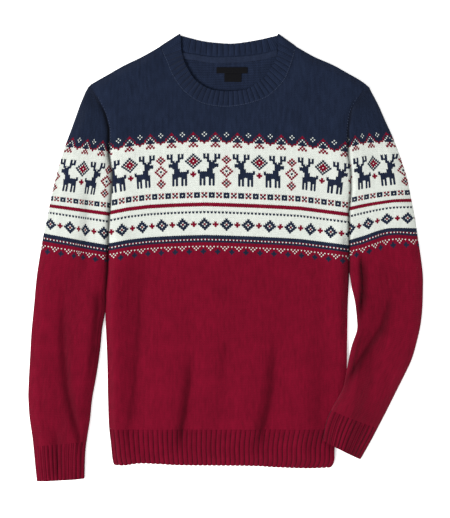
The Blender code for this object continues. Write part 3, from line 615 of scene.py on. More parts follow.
def spline(table, steps=8):
    """A smooth curve through the rows of a table."""
    rows = np.array(table, float)
    rows = np.vstack([2 * rows[0] - rows[1], rows, 2 * rows[-1] - rows[-2]])
    t = np.linspace(0, 1, steps, endpoint=False)[:, None]
    stretches = []
    for before, start, end, after in zip(rows[:-3], rows[1:-2], rows[2:-1], rows[3:]):
        line = 2 * start + (end - before) * t
        curve = (2 * before - 5 * start + 4 * end - after) * t**2
        twist = (3 * start - before - 3 * end + after) * t**3
        stretches.append(0.5 * (line + curve + twist))
    return np.vstack(stretches + [rows[-2:-1]])


def shares(curve):
    """The share of a curve's length at each of its points."""
    lengths = np.linalg.norm(np.diff(curve, axis=0), axis=1)
    run = np.concatenate([[0.0], np.cumsum(lengths)])
    return run / run[-1]


def at_share(curve, share):
    """Points of a curve at shares of its length."""
    run = shares(curve)
    return np.stack([np.interp(share, run, curve[:, k]) for k in range(2)], axis=-1)


def x_at(table, y):
    """The x of a curve that falls steadily, at heights y."""
    curve = spline(table)[::-1]
    return np.interp(y, curve[:, 1], curve[:, 0])


def look_up(table, value):
    """Second column of a table at values of its first, in straight stretches."""
    rows = np.array(table, float)
    return np.interp(value, rows[:, 0], rows[:, 1])


def fold_places(x, y, line):
    """Of each point beside a line: its distance, its side and how far down the line it lies, as a share."""
    line = np.array(line, float)
    run = shares(line)
    near = np.full(np.shape(x), np.inf)
    side, share = np.zeros(np.shape(x)), np.zeros(np.shape(x))
    for k in range(len(line) - 1):
        (ax, ay), (bx, by) = line[k], line[k + 1]
        t = ((x - ax) * (bx - ax) + (y - ay) * (by - ay)) / ((bx - ax) ** 2 + (by - ay) ** 2)
        t = np.clip(t, 0, 1)
        distance = np.hypot(x - ax - t * (bx - ax), y - ay - t * (by - ay))
        closer = distance < near
        near = np.where(closer, distance, near)
        side = np.where(closer, (bx - ax) * (y - ay) - (by - ay) * (x - ax), side)
        share = np.where(closer, run[k] + t * (run[k + 1] - run[k]), share)
    return near, side, share


def nearest(x, y, *lines):
    """Distance of points from the nearest of some lines."""
    return np.minimum.reduce([fold_places(x, y, line)[0] for line in lines])


def strokes(x, y, table):
    """For each line of a table: distance, share down it, value and reach there, and if it is a trough."""
    for line, top, bottom, left_reach, right_reach in table:
        near, side, share = fold_places(x, y, line)
        reach = np.where(side > 0, left_reach, right_reach)
        yield near, share, top + (bottom - top) * share, reach, min(top, bottom) < 0


def ends_fade(share):
    """Fade a fold out at both its ends."""
    return smooth(share / FOLD_FADE) * smooth((1 - share) / FOLD_FADE)


def folds(x, y, table):
    """The summed height of the soft folds of a table."""
    total = np.zeros(np.shape(x))
    for near, share, height, reach, trough in strokes(x, y, table):
        rolled = np.square(1 - np.clip(near / reach, 0, 1))
        form = np.where((reach < ROLL_LIMIT) & trough, rolled, bump(near, reach))
        total = total + height * ends_fade(share) * form
    return total


def painted_darkness(x, y, creases):
    """How far painted shade darkens the knit in creases, seams and soft hollows, from 0 to DARKEST."""
    total = np.zeros(np.shape(x))
    for near, share, height, reach, _ in strokes(x, y, creases + SEAM_SHADES):
        reach = np.where(reach < ROLL_LIMIT, reach * CREASE_REACH, CREASE_EDGE)
        total = total + np.maximum(-height, 0) * ends_fade(share) * bump(near, reach)
    total = total / DEEP
    # the hollows add painted shade alone, with no fold in the cloth under them
    soft = next(hollows for sharp, hollows in PAINTED_SHADE_TABLES if sharp is creases)
    for near, share, dark, reach, _ in strokes(x, y, soft):
        total = total + dark * smooth(share / PAINTED_SHADE_FADE) * bump(near, reach) / CREASE_SHADE
    return np.clip(total, 0, DARKEST)


def waver(x, y):
    """The low unevenness that laid knitting always has."""
    first = np.sin(x / 31 + 1.3 * np.sin(y / 47)) * np.sin(y / 39 + 0.9 * np.sin(x / 53))
    second = np.sin(x / 13 + y / 57 + 1.7) * np.sin(y / 23 - x / 71)
    return 0.28 * first + 0.12 * second


def below(table, y):
    """The rows of a table that lie under a height."""
    return [row for row in table if row[1] <= y]


def above(table, y):
    """The rows of a table that lie over a height."""
    return [row for row in table if row[1] >= y]


def front_under(x, y):
    """Height of the front's plain inside above the surface, down to the bottom of its hem."""
    shoulders = nearest(x, y, SHOULDER_LEFT, SHOULDER_RIGHT)
    sides = nearest(x, y, below(SIDE_LEFT, SIDES_BELOW), below(SIDE_RIGHT, SIDES_BELOW))
    armholes = nearest(x, y, above(SIDE_LEFT, ARMHOLES_ABOVE), above(SIDE_RIGHT, ARMHOLES_ABOVE))
    press = smooth((x - PRESS_X[0]) / PRESS_X[1]) * smooth((PRESS_Y[0] - y) / PRESS_Y[1])
    pressed = 1 - PRESSED_SHARE * press
    over_hem = y - HEM_BOTTOM
    edge = smooth(np.minimum(shoulders, sides) / EDGE_REACH)
    edge = edge * (HEM_EDGE + (1 - HEM_EDGE) * smooth(over_hem / HEM_EDGE_REACH))
    height = REST + (LOFT - PRESSED * press) * edge
    height = height + SIDE_LOFT * edge * bump(sides - SIDE_REACH, SIDE_SWELL) * pressed
    height = height + SHOULDER_LOFT * edge * bump(shoulders - SIDE_REACH, SIDE_SWELL)
    height = height - ARMHOLE_DIP * edge * bump(armholes, DIP_REACH)
    middle, reach, start = SLEEVE_HEAD
    height = height + SLEEVE_HEAD_LOFT * bump(armholes - middle, reach) * smooth(y / start)
    height = height + HEM_PUFF * edge * bump(y - HEM_SEAM - HEM_SWELL[0], HEM_SWELL[1]) * pressed
    neck = nearest(x, y, NECK_FRONT)
    at_ends = bump(neck, NECK_END_REACH) * bump(shoulders, NECK_END_LONG)
    height = height - (NECK_SETTLE * bump(neck, NECK_REACH) + NECK_END_SETTLE * at_ends) * edge
    folded = folds(x, y, BODY_FOLDS + SEAM_VALLEYS + BODY_CREASES) + waver(x, y)
    height = height + folded * edge * pressed * smooth(over_hem / HEM_CALM)
    return np.maximum(height, REST + HEM_EDGE * edge)


def front_thick(x, y):
    """Thickness of the front's cloth, which thins towards its shoulders and sides."""
    rims = nearest(x, y, SHOULDER_LEFT, SHOULDER_RIGHT, below(SIDE_LEFT, 0), below(SIDE_RIGHT, 0))
    return RIM_WALL + (WALL - RIM_WALL) * smooth(rims / THIN_REACH)


def front_top(x, y):
    """Height of the front's outer side above the surface."""
    return front_under(x, y) + front_thick(x, y)


def body_grid(neck, shoulder_columns, neck_columns, rows):
    """X and Y of a body panel. Columns fan down from the shoulders and neckline."""
    steps = np.linspace(0, 1, shoulder_columns + 1) ** BUNCHED
    left = at_share(spline(SHOULDER_LEFT), steps)
    middle = at_share(spline(neck), np.linspace(0, 1, neck_columns + 1))
    right = at_share(spline(SHOULDER_RIGHT), steps[::-1])
    top = np.vstack([left, middle[1:-1], right])
    start, end = x_at(SIDE_LEFT, top[:, 1]), x_at(SIDE_RIGHT, top[:, 1])
    share = (top[:, 0] - start) / (end - start)
    share[0], share[-1] = 0, 1
    down = np.linspace(0, 1, rows + 1)[:, None]
    y = top[:, 1] + (HEM_SEAM - top[:, 1]) * down
    start, end = x_at(SIDE_LEFT, y), x_at(SIDE_RIGHT, y)
    x = start + share * (end - start)
    return x, y


def body_knit(x, y):
    """Stitch and row numbers of points on the body."""
    row = look_up(BODY_ROWS, (BODY_ROW_TOP - look_up(BODY_SAG, x) - y) / BODY_ROW)
    low, drawn = (smooth((row - a) / (b - a)) for a, b in (NARROW_ROWS, SIDE_NARROW_ROWS))
    drawn = drawn * (1 - low)
    narrow = look_up(SIDE_NARROWING, np.abs(x)) * drawn + NARROWING * low
    return look_up(BODY_STITCHES, x) * (1 + narrow), row


def stack(*parts):
    """One array of points from their coordinates."""
    return np.stack(np.broadcast_arrays(*parts), axis=-1).astype(float)


def shown(name, data, place=(0, 0, 0)):
    """An object of the scene."""
    made = bpy.data.objects.new(name, data)
    made.location = place
    bpy.context.scene.collection.objects.link(made)
    return made


def cloth(name, outer, inner, quads, knit, flat_outer, flat_inner, materials, creases=None):
    """One closed wall of cloth between outer and inner points.

    quads hold the numbers of the points at the corners of each face, and knit, flat_outer and flat_inner
    hold, for the same corners, the stitch numbers and the place in the square that the colours bake to.
    """
    count = len(outer)
    quads = np.array(quads)
    edges = {}
    for face, quad in enumerate(quads.tolist()):
        for k in range(4):
            edges[(quad[k], quad[(k + 1) % 4])] = (face, k)
    open_edges = [(a, b, *edges[(a, b)]) for a, b in edges if (b, a) not in edges]
    rims = [(b, a, count + a, count + b) for a, b, _, _ in open_edges]
    faces = quads.tolist() + (count + quads[:, ::-1]).tolist() + rims
    knit = np.array(knit, float)
    rim_knit, rim_flat = [], []
    for number, (_, _, face, k) in enumerate(open_edges):
        a, b = knit[face, k], knit[face, (k + 1) % 4]
        rim_knit.append((b, a, a, b))
        low, high = (MARGIN + (1 - 2 * MARGIN) * v / len(open_edges) for v in (number, number + 1))
        left, right = RIM_STRIP
        rim_flat.append(((left, high), (left, low), (right, low), (right, high)))
    knit = np.concatenate([knit, knit[:, ::-1], np.array(rim_knit)])
    flat = np.concatenate([flat_outer, np.array(flat_inner)[:, ::-1], np.array(rim_flat)])
    mesh = bpy.data.meshes.new(name)
    mesh.from_pydata((np.vstack([outer, inner]) * MM).tolist(), [], faces)
    for layer, places in (("OFBake", flat), ("Stitch", knit)):
        mesh.uv_layers.new(name=layer).data.foreach_set("uv", places.reshape(-1).astype(np.float32))
    # painted shade: how far creases, seams and hollows darken the outer side's colour, kept on each point
    depth = np.zeros(2 * count, np.float32)
    if creases is not None:
        depth[:count] = painted_darkness(outer[:, 0], outer[:, 1], creases)
    mesh.attributes.new("crease", "FLOAT", "POINT").data.foreach_set("value", depth)
    slots = np.zeros(len(faces), np.int32)
    slots[len(quads):2 * len(quads)] = len(materials) - 1
    mesh.polygons.foreach_set("material_index", slots)
    shaped = bmesh.new()
    shaped.from_mesh(mesh)
    bmesh.ops.recalc_face_normals(shaped, faces=shaped.faces)
    shaped.to_mesh(mesh)
    shaped.free()
    mesh.polygons.foreach_set("use_smooth", np.ones(len(faces), bool))
    mesh.set_sharp_from_angle(angle=np.radians(SHARP))
    for finish in materials:
        mesh.materials.append(finish)
    return shown(name, mesh)


def corners(grid):
    """The values of a grid at the four corners of each of its faces."""
    grid = np.asarray(grid)
    four = [grid[:-1, :-1], grid[1:, :-1], grid[1:, 1:], grid[:-1, 1:]]
    joined = np.stack(four, axis=2)
    return joined.reshape(-1, *joined.shape[2:])


def spread(x, y, box):
    """Points of a flat piece in a box of the square: x0, y0, width, height."""
    scale = min(box[2] / np.ptp(x), box[3] / np.ptp(y))
    return stack(box[0] + (x - x.min()) * scale, box[1] + (y - y.min()) * scale)


def flat_panel(name, top, under, knit, materials, tall, creases=None):
    """A closed wall from two grids of points, the outer one above the inner one."""
    rows, columns = top.shape[:2]
    numbers = np.arange(rows * columns).reshape(rows, columns)
    x, y = top[..., 0], top[..., 1]
    flat_outer, flat_inner = (corners(spread(x, y, box)) for box in (TALL_BOXES if tall else WIDE_BOXES))
    return cloth(name, top.reshape(-1, 3), under.reshape(-1, 3), corners(numbers), corners(knit), flat_outer,
                 flat_inner, materials, creases)


def rib(share, count):
    """Rise of points across ribs, from 0 in a groove to 1 on a rib."""
    place = share * count % 1
    return 1 - np.abs(2 * place - 1) ** 3


def build_front(materials):
    """The front panel, lofted over the back and thin at its rims."""
    x, y = body_grid(NECK_FRONT, FRONT_SHOULDER_COLUMNS, FRONT_NECK_COLUMNS, FRONT_ROWS)
    under = front_under(x, y)
    top = under + front_thick(x, y)
    return flat_panel("front_knit", stack(x, y, top), stack(x, y, under), stack(*body_knit(x, y)), materials,
                      True, BODY_FOLDS)


def build_back(materials):
    """The back panel, flat on the surface but for a few soft creases underneath."""
    x, y = body_grid(NECK_BACK, BACK_SHOULDER_COLUMNS, BACK_NECK_COLUMNS, BACK_ROWS)
    sides = nearest(x, y, SIDE_LEFT, SIDE_RIGHT)
    under = folds(x, y, BACK_CREASES) * smooth(sides / BACK_CALM) * smooth((y - HEM_SEAM) / BACK_CALM)
    stitches, rows = body_knit(x, y)
    return flat_panel("back_knit", stack(x, y, under), stack(x, y, BACK_TOP), stack(-stitches, rows),
                      materials, True)


def hem_grid(points, rows):
    """X and Y of a hem rib, from its seam down to its bottom edge, which its ribs scallop."""
    share = np.linspace(0, 1, HEM_RIBS * points + 1)
    low = spline(HEM)
    left, right = x_at(SIDE_LEFT, HEM_SPAN_AT), x_at(SIDE_RIGHT, HEM_SPAN_AT)
    span = left + share * (right - left)
    bottom = np.interp(span, low[:, 0], low[:, 1]) - SCALLOP * (rib(share, HEM_RIBS) - 0.5)
    down = np.linspace(0, 1, rows + 1)[:, None]
    y = HEM_SEAM + (bottom - HEM_SEAM) * down
    start, end = x_at(SIDE_LEFT, y), x_at(SIDE_RIGHT, y)
    return start + share * (end - start), y, share


def rib_knit(share, ribs, depth):
    """Stitch and row numbers on a rib knit: two stitches to a rib."""
    return stack(share * ribs * 2, depth / BODY_ROW)


def build_hem_front(materials):
    """The front hem rib, with its ribs raised over a plain inside. It carries the front on without a step."""
    x, y, share = hem_grid(RIB_POINTS, HEM_ROWS)
    edge = smooth(np.minimum(share, 1 - share) / HEM_END)
    under = front_under(x, y)
    raised = RIB_RAISE * (rib(share, HEM_RIBS) - RIB_SUNK) * smooth((HEM_SEAM - y) / RIB_START)
    top = under + front_thick(x, y) + raised * edge
    knit = rib_knit(share, HEM_RIBS, HEM_SEAM - y)
    return flat_panel("hem_rib_front_knit", stack(x, y, top), stack(x, y, under), knit, materials, False,
                      BODY_FOLDS)


def build_hem_back(materials):
    """The back hem rib, plain where it rests."""
    x, y, share = hem_grid(2, HEM_ROWS // 2)
    knit = rib_knit(share, HEM_RIBS, y[0] - y)
    return flat_panel("hem_rib_back_knit", stack(x, y, 0), stack(x, y, BACK_TOP), knit, materials, False)


def lifted(x, y):
    """Height that a sleeve's underside is carried by the body below it."""
    past = x_at(SIDE_RIGHT, y) + OVERLAP_MARGIN - x
    start, end = OVERLAP_TOP
    reach = smooth((start - y) / (start - end))
    return OVERLAP_LIFT * smooth((past + OVERLAP_REACH) / OVERLAP_REACH) * reach


def tube(name, side, near_ends, far_ends, open_rows, rims, tops, unders, rise, knit_of, materials):
    """A flattened tube along pairs of end points, open to the body down to its row open_rows.

    Each ring runs over the top wall to the outer edge, round its fold and back under the bottom wall.
    A closed ring also turns round a fold at its inner edge.
    """
    top_share = np.linspace(0, 1, tops) ** (BUNCHED if open_rows else 1)
    under_share = np.linspace(1, 0, unders)
    turns = len(TURN)
    ring = tops + turns + unders
    outer, inner, starts, knit = [], [], [], []
    for row, (near, far) in enumerate(zip(near_ends, far_ends)):
        length = np.linalg.norm(far - near)
        along = (far - near) / length
        fold = min(TUBE_FOLD, TUBE_FOLD_SHARE * length)
        inset = min(TUBE_WALL, TUBE_INSET_SHARE * fold)
        closed = row >= open_rows
        rim = TUBE_HEIGHT
        if open_rows:
            seamed = rims[min(row, open_rows)]
            rim = seamed + (TUBE_HEIGHT - seamed) * smooth((row - open_rows) / SEAM_BLEND_ROWS)
        near_fold, near_inset = 0.0, 0.0
        if closed:
            past = (row - open_rows) / SLEEVE_FINENESS if open_rows else 1
            near_fold = ARMPIT_FOLD + (fold - ARMPIT_FOLD) * min(past, 1)
            near_inset = max(near_fold, inset + ARMPIT_FOLD)

        def ring_steps(start, far_turn, near_turn):
            flat = length - fold - start
            steps = [start + flat * top_share, length - fold + far_turn * np.sin(TURN)]
            steps += [start + flat * under_share]
            return np.concatenate(steps + ([start - near_turn * np.sin(TURN)] if closed else []))

        steps = ring_steps(near_fold, fold, near_fold)
        inside = ring_steps(near_inset, fold - inset, near_inset - inset)
        level = [np.ones(tops), np.cos(TURN), -np.ones(unders), -np.cos(TURN) if closed else []]
        level = np.concatenate(level)
        lift = np.zeros(len(steps))
        lift[:tops] = rise[row]
        starts.append(len(outer))
        near_side = np.arange(len(steps)) >= ring
        for place, points, thin, raised in ((steps, outer, 0.0, lift), (inside, inner, TUBE_WALL, 0 * lift)):
            x, y = (near[k] + along[k] * place for k in (0, 1))
            reach = np.minimum(place, length - place) if closed else length - place
            broad = smooth((length - TUBE_NARROW[0]) / TUBE_NARROW[1])
            height = TUBE_HEIGHT + TUBE_LOFT * smooth(reach / TUBE_RAMP) * broad
            folded = folds(x, y, side.folds) + folds(x, y, side.creases) + TUBE_WAVER * waver(x, y)
            for at, (start, over) in ((reach, FAR_CALM), (place, NEAR_CALM)):
                folded = folded * smooth((at - start) / over)
            roll = np.clip(place / side.roll, 0, 1)
            height = rim + (height + folded - rim) * (1 - np.square(1 - roll))
            height = np.maximum(height, 2 * TUBE_WALL + TUBE_GAP)
            height = np.where(level == 1, height, np.where(near_side, rim, TUBE_HEIGHT))
            base = lifted(x, y) if side.carried else 0.0
            z = base + height / 2 + (height / 2 - thin) * level + raised
            points.extend(stack(x, y, z).tolist())
        knit.append(knit_of(row, np.clip(steps / length, 0, 1), closed))
    weights = (1.0, TURN_WEIGHT, UNDER_WEIGHT * tops / unders, TURN_WEIGHT)
    weights = np.repeat(weights, (tops - 1, turns + 1, unders - 1, turns + 1))
    flat_ring = np.concatenate([[0], np.cumsum(weights)]) / weights.sum()
    quads, quad_knit, quad_outer, quad_inner = [], [], [], []
    last = len(starts) - 1
    half = last // 2
    for row, (here, there) in enumerate(zip(starts[:-1], starts[1:])):
        loop = [*range(ring + turns), 0] if row >= open_rows else [*range(ring)]
        part = int(row >= half)
        low, high = ((0, half), (half, last))[part]
        v0, v1 = ((k - low) / (high - low) for k in (row, row + 1))
        for j, (a, b) in enumerate(zip(loop[:-1], loop[1:])):
            quads.append((here + a, there + a, there + b, here + b))
            quad_knit.append((knit[row][j], knit[row + 1][j], knit[row + 1][j + 1], knit[row][j + 1]))
            u0, u1 = (MARGIN + TUBE_HALF * part + TUBE_STRIP * flat_ring[k] for k in (j, j + 1))
            for quad, (start, tall) in ((quad_outer, TUBE_OUTSIDE), (quad_inner, TUBE_INSIDE)):
                top, bottom = start + tall * v0, start + tall * v1
                quad.append(((u0, top), (u0, bottom), (u1, bottom), (u1, top)))
    return cloth(name, np.array(outer), np.array(inner), quads, quad_knit, quad_outer, quad_inner, materials,
                 side.folds)


def sleeve_ends(heights, side, armpit):
    """End points of knitted rows: where they meet the body or inner edge, and at the outer edge."""
    seam, edge = x_at(side.seam, heights), x_at(side.inner, heights)
    clear = seam + side.way * CLEAR_OF_SIDE
    free = (heights < FREE_BELOW) | (side.way * (edge - clear) > 0)
    sewn = heights >= armpit - NEARLY
    near = np.where(sewn, seam - side.way * TUCK, np.where(free, edge, clear))
    table = np.array(side.rows, float)[::-1]
    far_y = np.interp(heights, table[:, 0], table[:, 1])
    return stack(near, heights), stack(x_at(side.outer, far_y), far_y)


def stitch_at(table, row, share):
    """Stitch number across a sleeve's top, between the measured rows of its table."""
    numbers = [look_up(one, share) for _, one in table]
    rows = [first for first, _ in table]
    place = np.interp(row, rows, np.arange(len(rows)))
    low = min(int(place), len(rows) - 2)
    mix = place - low
    return (1 - mix) * numbers[low] + mix * numbers[low + 1]


def around_knit(stitches_at, rows, rise_at, bow, tops):
    """A function that numbers the stitches of one ring of a sleeve, over its top and back under."""
    def ring_knit(row, share, closed):
        number = stitches_at(rows[row], share)
        start, end = (stitches_at(rows[row], at) for at in (0.0, 1.0))
        beneath = np.arange(len(share)) > tops + len(TURN) // 2
        number = np.where(beneath, 2 * end - number, number)
        count = rows[row] + rise_at(rows[row], share) + bow * np.sin(np.pi * share)
        if closed:
            number = np.append(number, 2 * end - start)
            count = np.append(count, rows[row])
        return stack(number, count)
    return ring_knit


def centre_rows(near, far, heights, row_at):
    """Row numbers along a sleeve, counted on its centre line."""
    centre = (near + far) / 2
    run = np.concatenate([[0.0], np.cumsum(np.linalg.norm(np.diff(centre, axis=0), axis=1))])
    known = np.interp(-row_at[1], -heights, run)
    return row_at[0] + (run - known) / SLEEVE_ROW


def build_sleeve(name, side, materials):
    """A sleeve from its armhole seam to its cuff seam."""
    down = np.linspace(0, CAD_ARMPIT_ROW, CAD_ARMPIT_ROW * SLEEVE_FINENESS + 1) / CAD_ROWS
    armhole = side.seam[0][1] + (HEM_SEAM + SEAM / 2 - side.seam[0][1]) * down
    count = (CAD_ROWS - CAD_ARMPIT_ROW - 2) * SLEEVE_FINENESS + 1
    heights = np.concatenate([armhole, np.linspace(armhole[-1], side.cuff[0], count)[1:]])
    near, far = sleeve_ends(heights, side, armhole[-1])
    rows = centre_rows(near, far, heights, side.row_at)
    stitches_at, rise_at = partial(stitch_at, side.stitches), partial(stitch_at, side.rises)
    knit_of = around_knit(stitches_at, rows, rise_at, side.bow, SLEEVE_TOP_POINTS)
    rims = front_top(x_at(side.seam, armhole), armhole)
    return tube(name, side, near, far, len(armhole) - 1, rims, SLEEVE_TOP_POINTS, SLEEVE_UNDER_POINTS,
                np.zeros(len(heights)), knit_of, materials)


def build_cuff(name, side, materials):
    """A cuff that carries the sleeve's tube on, ribbed on its top."""
    heights = np.linspace(*side.cuff, CUFF_ROWS + 1)
    near, far = sleeve_ends(heights, side, np.inf)
    depth = (heights[0] - heights) / BODY_ROW
    tops = CUFF_RIBS * RIB_POINTS + 1
    knit_of = around_knit(lambda row, share: share * CUFF_RIBS * 2, depth, lambda row, share: 0 * share, 0.0,
                          tops)
    starts = smooth(depth[:, None] * BODY_ROW / RIB_START)
    rise = RIB_RAISE * (rib(np.linspace(0, 1, tops), CUFF_RIBS) - RIB_SUNK) * starts
    return tube(name, side, near, far, 0, (), tops, CUFF_UNDER_POINTS, rise, knit_of, materials)


def seam_line(neck, inward):
    """The neckline of a body panel, moved into the neck by the seam gap."""
    line = at_share(spline(neck), np.linspace(0, 1, 2 * FRONT_NECK_COLUMNS + 1))
    slope = np.gradient(line, axis=0)
    normal = np.stack([-slope[:, 1], slope[:, 0]], axis=-1)
    return line + inward * normal / np.linalg.norm(normal, axis=1)[:, None]


def build_neckband(materials):
    """The ribbed neckband: its front half right side up, its back half turned under at both shoulders.

    It thins towards the seam's ends, where it meets the thin rims of the shoulders.
    """
    match = np.array(BAND_MATCH)
    across = np.linspace(0, 1, BAND_ACROSS)
    rounding = BAND_ROUND[0] * (1 - smooth(np.minimum(across, 1 - across) / BAND_ROUND[1]))
    outer_points, inner_points, stitch = [], [], []

    def section(start, end, mid, way, raised, raised_in, number, thin):
        line = start + (end - start) * across[:, None]
        middle = stack(line[:, 0], line[:, 1], mid)
        half = BAND_WALL / 2 - (BAND_WALL / 2 - BAND_THIN) * thin * (1 - across) - rounding
        outer_points.append(middle + np.array(way) * (half + raised)[:, None])
        inner_points.append(middle - np.array(way) * (half + raised_in)[:, None])
        stitch.append(stack(number, across * BAND_STITCHES))

    seam = seam_line(NECK_FRONT, 0)
    share = np.linspace(0, 1, RIB_POINTS * BAND_RIBS_FRONT + 1)
    starts = at_share(seam, share)
    ends = at_share(spline(BAND_FRONT), np.interp(share, match[:, 0], match[:, 1]))
    seam_back = seam_line(NECK_BACK, 0)
    back_share = np.linspace(1, 0, RIB_POINTS * BAND_RIBS_BACK + 1)
    back_ends = at_share(spline(BAND_BACK), back_share)
    seam_x = look_up(BAND_BACK_MATCH, back_ends[:, 0])
    back_starts = stack(seam_x, np.interp(seam_x, seam_back[:, 0], seam_back[:, 1]))
    back_starts[0], back_starts[-1] = starts[-1], starts[0]
    back_ends[0], back_ends[-1] = ends[-1], ends[0]
    arch = BAND_ARCH * np.sin(np.pi * across) - BAND_DROP * smooth(across)
    turn = np.radians(np.linspace(0, 180, 13)[1:-1])
    front_ribs = rib(share, BAND_RIBS_FRONT) - RIB_SUNK
    back_ribs = rib(back_share, BAND_RIBS_BACK)
    low_end = BAND_WALL / 2 - (BAND_WALL / 2 - BAND_THIN) * (1 - across)
    high_end = BAND_FOLD_MID - (BAND_FOLD_MID - REST - BAND_THIN) * (1 - across)
    radius, centre = (high_end - low_end) / 2, (high_end + low_end) / 2

    def fold(start, end, outward, angles, number):
        for angle in angles:
            aside = outward * np.sin(angle)
            shift = aside * (radius * (BAND_TUCK + (1 - BAND_TUCK) * across))[:, None]
            way = (*aside, np.cos(angle))
            part = abs(angle - angles[0]) / np.pi
            section(start + shift, end + shift, centre + radius * np.cos(angle), way,
                    BAND_BULGE * np.sin(angle) ** 2 * across, 0 * across, number + 2 * part, 1.0)

    for k, place in enumerate(share):
        near = smooth(min(place, 1 - place) / BAND_FRONT_END)
        mid = high_end + (BAND_MID + arch - high_end) * near
        low_ribs = BAND_END_RIBS + (1 - BAND_END_RIBS) * near
        rise = RIB_RAISE * front_ribs[k] * low_ribs * smooth(across * BAND_DEPTH / RIB_START)
        section(starts[k], ends[k], mid, (0, 0, 1), rise, 0 * across, 2 * BAND_RIBS_FRONT * place, 1 - near)
    span = ends[-1] - starts[-1]
    fold(starts[-1], ends[-1], np.array((-span[1], span[0])) / -np.linalg.norm(span), turn,
         2 * BAND_RIBS_FRONT)
    for k, place in enumerate(back_share):
        near = smooth(min(place, 1 - place) / BAND_BACK_END)
        number = 2 * BAND_RIBS_FRONT + 2 + 2 * BAND_RIBS_BACK * (1 - place)
        mid = low_end + (BAND_WALL / 2 - low_end) * near
        rise = RIB_RAISE * back_ribs[k] * near * smooth(across * BAND_DEPTH / RIB_START)
        section(back_starts[k], back_ends[k], mid, (0, 0, -1), 0 * across, rise, number, 1 - near)
    span = ends[0] - starts[0]
    fold(starts[0], ends[0], np.array((-span[1], span[0])) / np.linalg.norm(span), turn[::-1],
         2 * BAND_RIBS_FRONT + 2 + 2 * BAND_RIBS_BACK)

    outer, inner = np.array(outer_points), np.array(inner_points)
    rings = len(outer)
    numbers = np.arange(rings * BAND_ACROSS).reshape(rings, BAND_ACROSS)
    numbers = np.vstack([numbers, numbers[:1]])
    last = stitch[-1] + (2.0, 0.0)
    knit = np.array(stitch + [last])
    run = np.linspace(0, 1, rings + 1)
    strip = (np.repeat(np.arange(rings), BAND_ACROSS - 1) * BAND_QUARTERS // rings)[:, None]
    flat = corners(stack(run[:, None] * BAND_QUARTERS, across[None, :]))
    wide, step, tall = BAND_STRIP
    flat_outer, flat_inner = (
        stack(MARGIN + wide * (flat[..., 0] - strip), at + step * strip + tall * flat[..., 1])
        for at in BAND_STRIPS
    )
    return cloth("neckband_knit", outer.reshape(-1, 3), inner.reshape(-1, 3), corners(numbers), corners(knit),
                 flat_outer, flat_inner, materials)


def build_tape(materials):
    """The tape over the back neckline seam, on the inside of the back."""
    seam = spline(NECK_BACK)
    x = np.linspace(TAPE_ENDS[0], TAPE_ENDS[1], 97)
    high = np.interp(x, seam[:, 0], seam[:, 1]) - TAPE_DOWN
    down = np.linspace(0, 1, 9)[:, None]
    y = high - TAPE_DEPTH * down
    top = REST + TRIM_WALL + TAPE_ARCH * np.sin(np.pi * down)
    knit = stack(x / TAPE_STITCH + 0 * y, down * 4 + 0 * x)
    return flat_panel("neck_tape_knit", stack(x, y, top), stack(x, y, REST), knit, materials, False)


def build_plate(name, box, materials):
    """A flat bare label on the inside of the back."""
    x0, y0, x1, y1 = box
    x, y = np.meshgrid(np.linspace(x0, x1, 25), np.linspace(y1, y0, 9))
    edge = smooth(np.minimum(np.minimum(x - x0, x1 - x), np.minimum(y - y0, y1 - y)) / PLATE_EDGE)
    top = REST + TRIM_WALL * (PLATE_RIM + (1 - PLATE_RIM) * edge)
    return flat_panel(name, stack(x, y, top), stack(x, y, REST), stack(x, y), materials, False)


def add(tree, kind, source=None, **values):
    """One node, with its first input linked to a socket and others set by name."""
    node = tree.nodes.new("ShaderNode" + kind)
    if source is not None:
        tree.links.new(source, node.inputs[0])
    for name, value in values.items():
        node.inputs[name].default_value = value
    return node


def calc(tree, operation, *values):
    """One Math node, from sockets or numbers."""
    node = add(tree, "Math")
    node.operation = operation
    for socket, value in zip(node.inputs, values):
        if isinstance(value, bpy.types.NodeSocket):
            tree.links.new(value, socket)
        else:
            socket.default_value = value
    return node.outputs[0]


def blend(tree, factor, first, second, mode="MIX"):
    """One Mix node for colours, from sockets or linear colours."""
    node = add(tree, "Mix")
    node.data_type = "RGBA"
    node.blend_type = mode
    node.clamp_factor = True
    for name, value in (("Factor_Float", factor), ("A_Color", first), ("B_Color", second)):
        socket = next(s for s in node.inputs if s.identifier == name)
        if isinstance(value, bpy.types.NodeSocket):
            tree.links.new(value, socket)
        elif name == "Factor_Float":
            socket.default_value = value
        else:
            socket.default_value = (*value, 1)
    return next(s for s in node.outputs if s.identifier == "Result_Color")


def chart_rows(squares):
    """For each knit row: its chart, how often the motif repeats and which stitch is its middle."""
    groups = (
        (("N",), 2, 0), (ZIGZAG, 12, 6), (PLAIN * 4, 2, 0), (REINDEER, 36, 18), (PLAIN * 3, 2, 0),
        (CHECKER, 8, squares), (PLAIN * 3, 2, 0), (RED_ROW * 2, 2, 0), (PLAIN * 3, 2, 0), (("N.",), 2, 0),
        (PLAIN * 3, 2, 0), (ORNAMENT, 12, 0), (PLAIN * 3, 2, 0), (NAVY_ROW * 2, 2, 0), (("CR",), 2, 0),
        (NAVY_ROW, 2, 0), (RED_ROW * 2, 2, 0), (VEES, 8, 7),
    )
    rows = [(line, period, middle) for lines, period, middle in groups for line in lines]
    return rows + [(RED_ROW[0], 2, 0)] * (ROWS_TO_A_RAMP * RAMPS - len(rows))


def row_code(chart, period, middle):
    """A knit row as a colour of a ramp: which stitches are navy, which are red, and its repeat."""
    half = period // 2
    line = chart if len(chart) > 1 else chart * (half + 1)
    line = line + line[-1] * (half + 1 - len(line))
    navy, red = (sum(2 ** k for k, stitch in enumerate(line) if stitch == yarn) for yarn in "NR")
    return navy / MASK_SCALE, red / MASK_SCALE, (period * CODE + middle % CODE) / CODE**2, 1


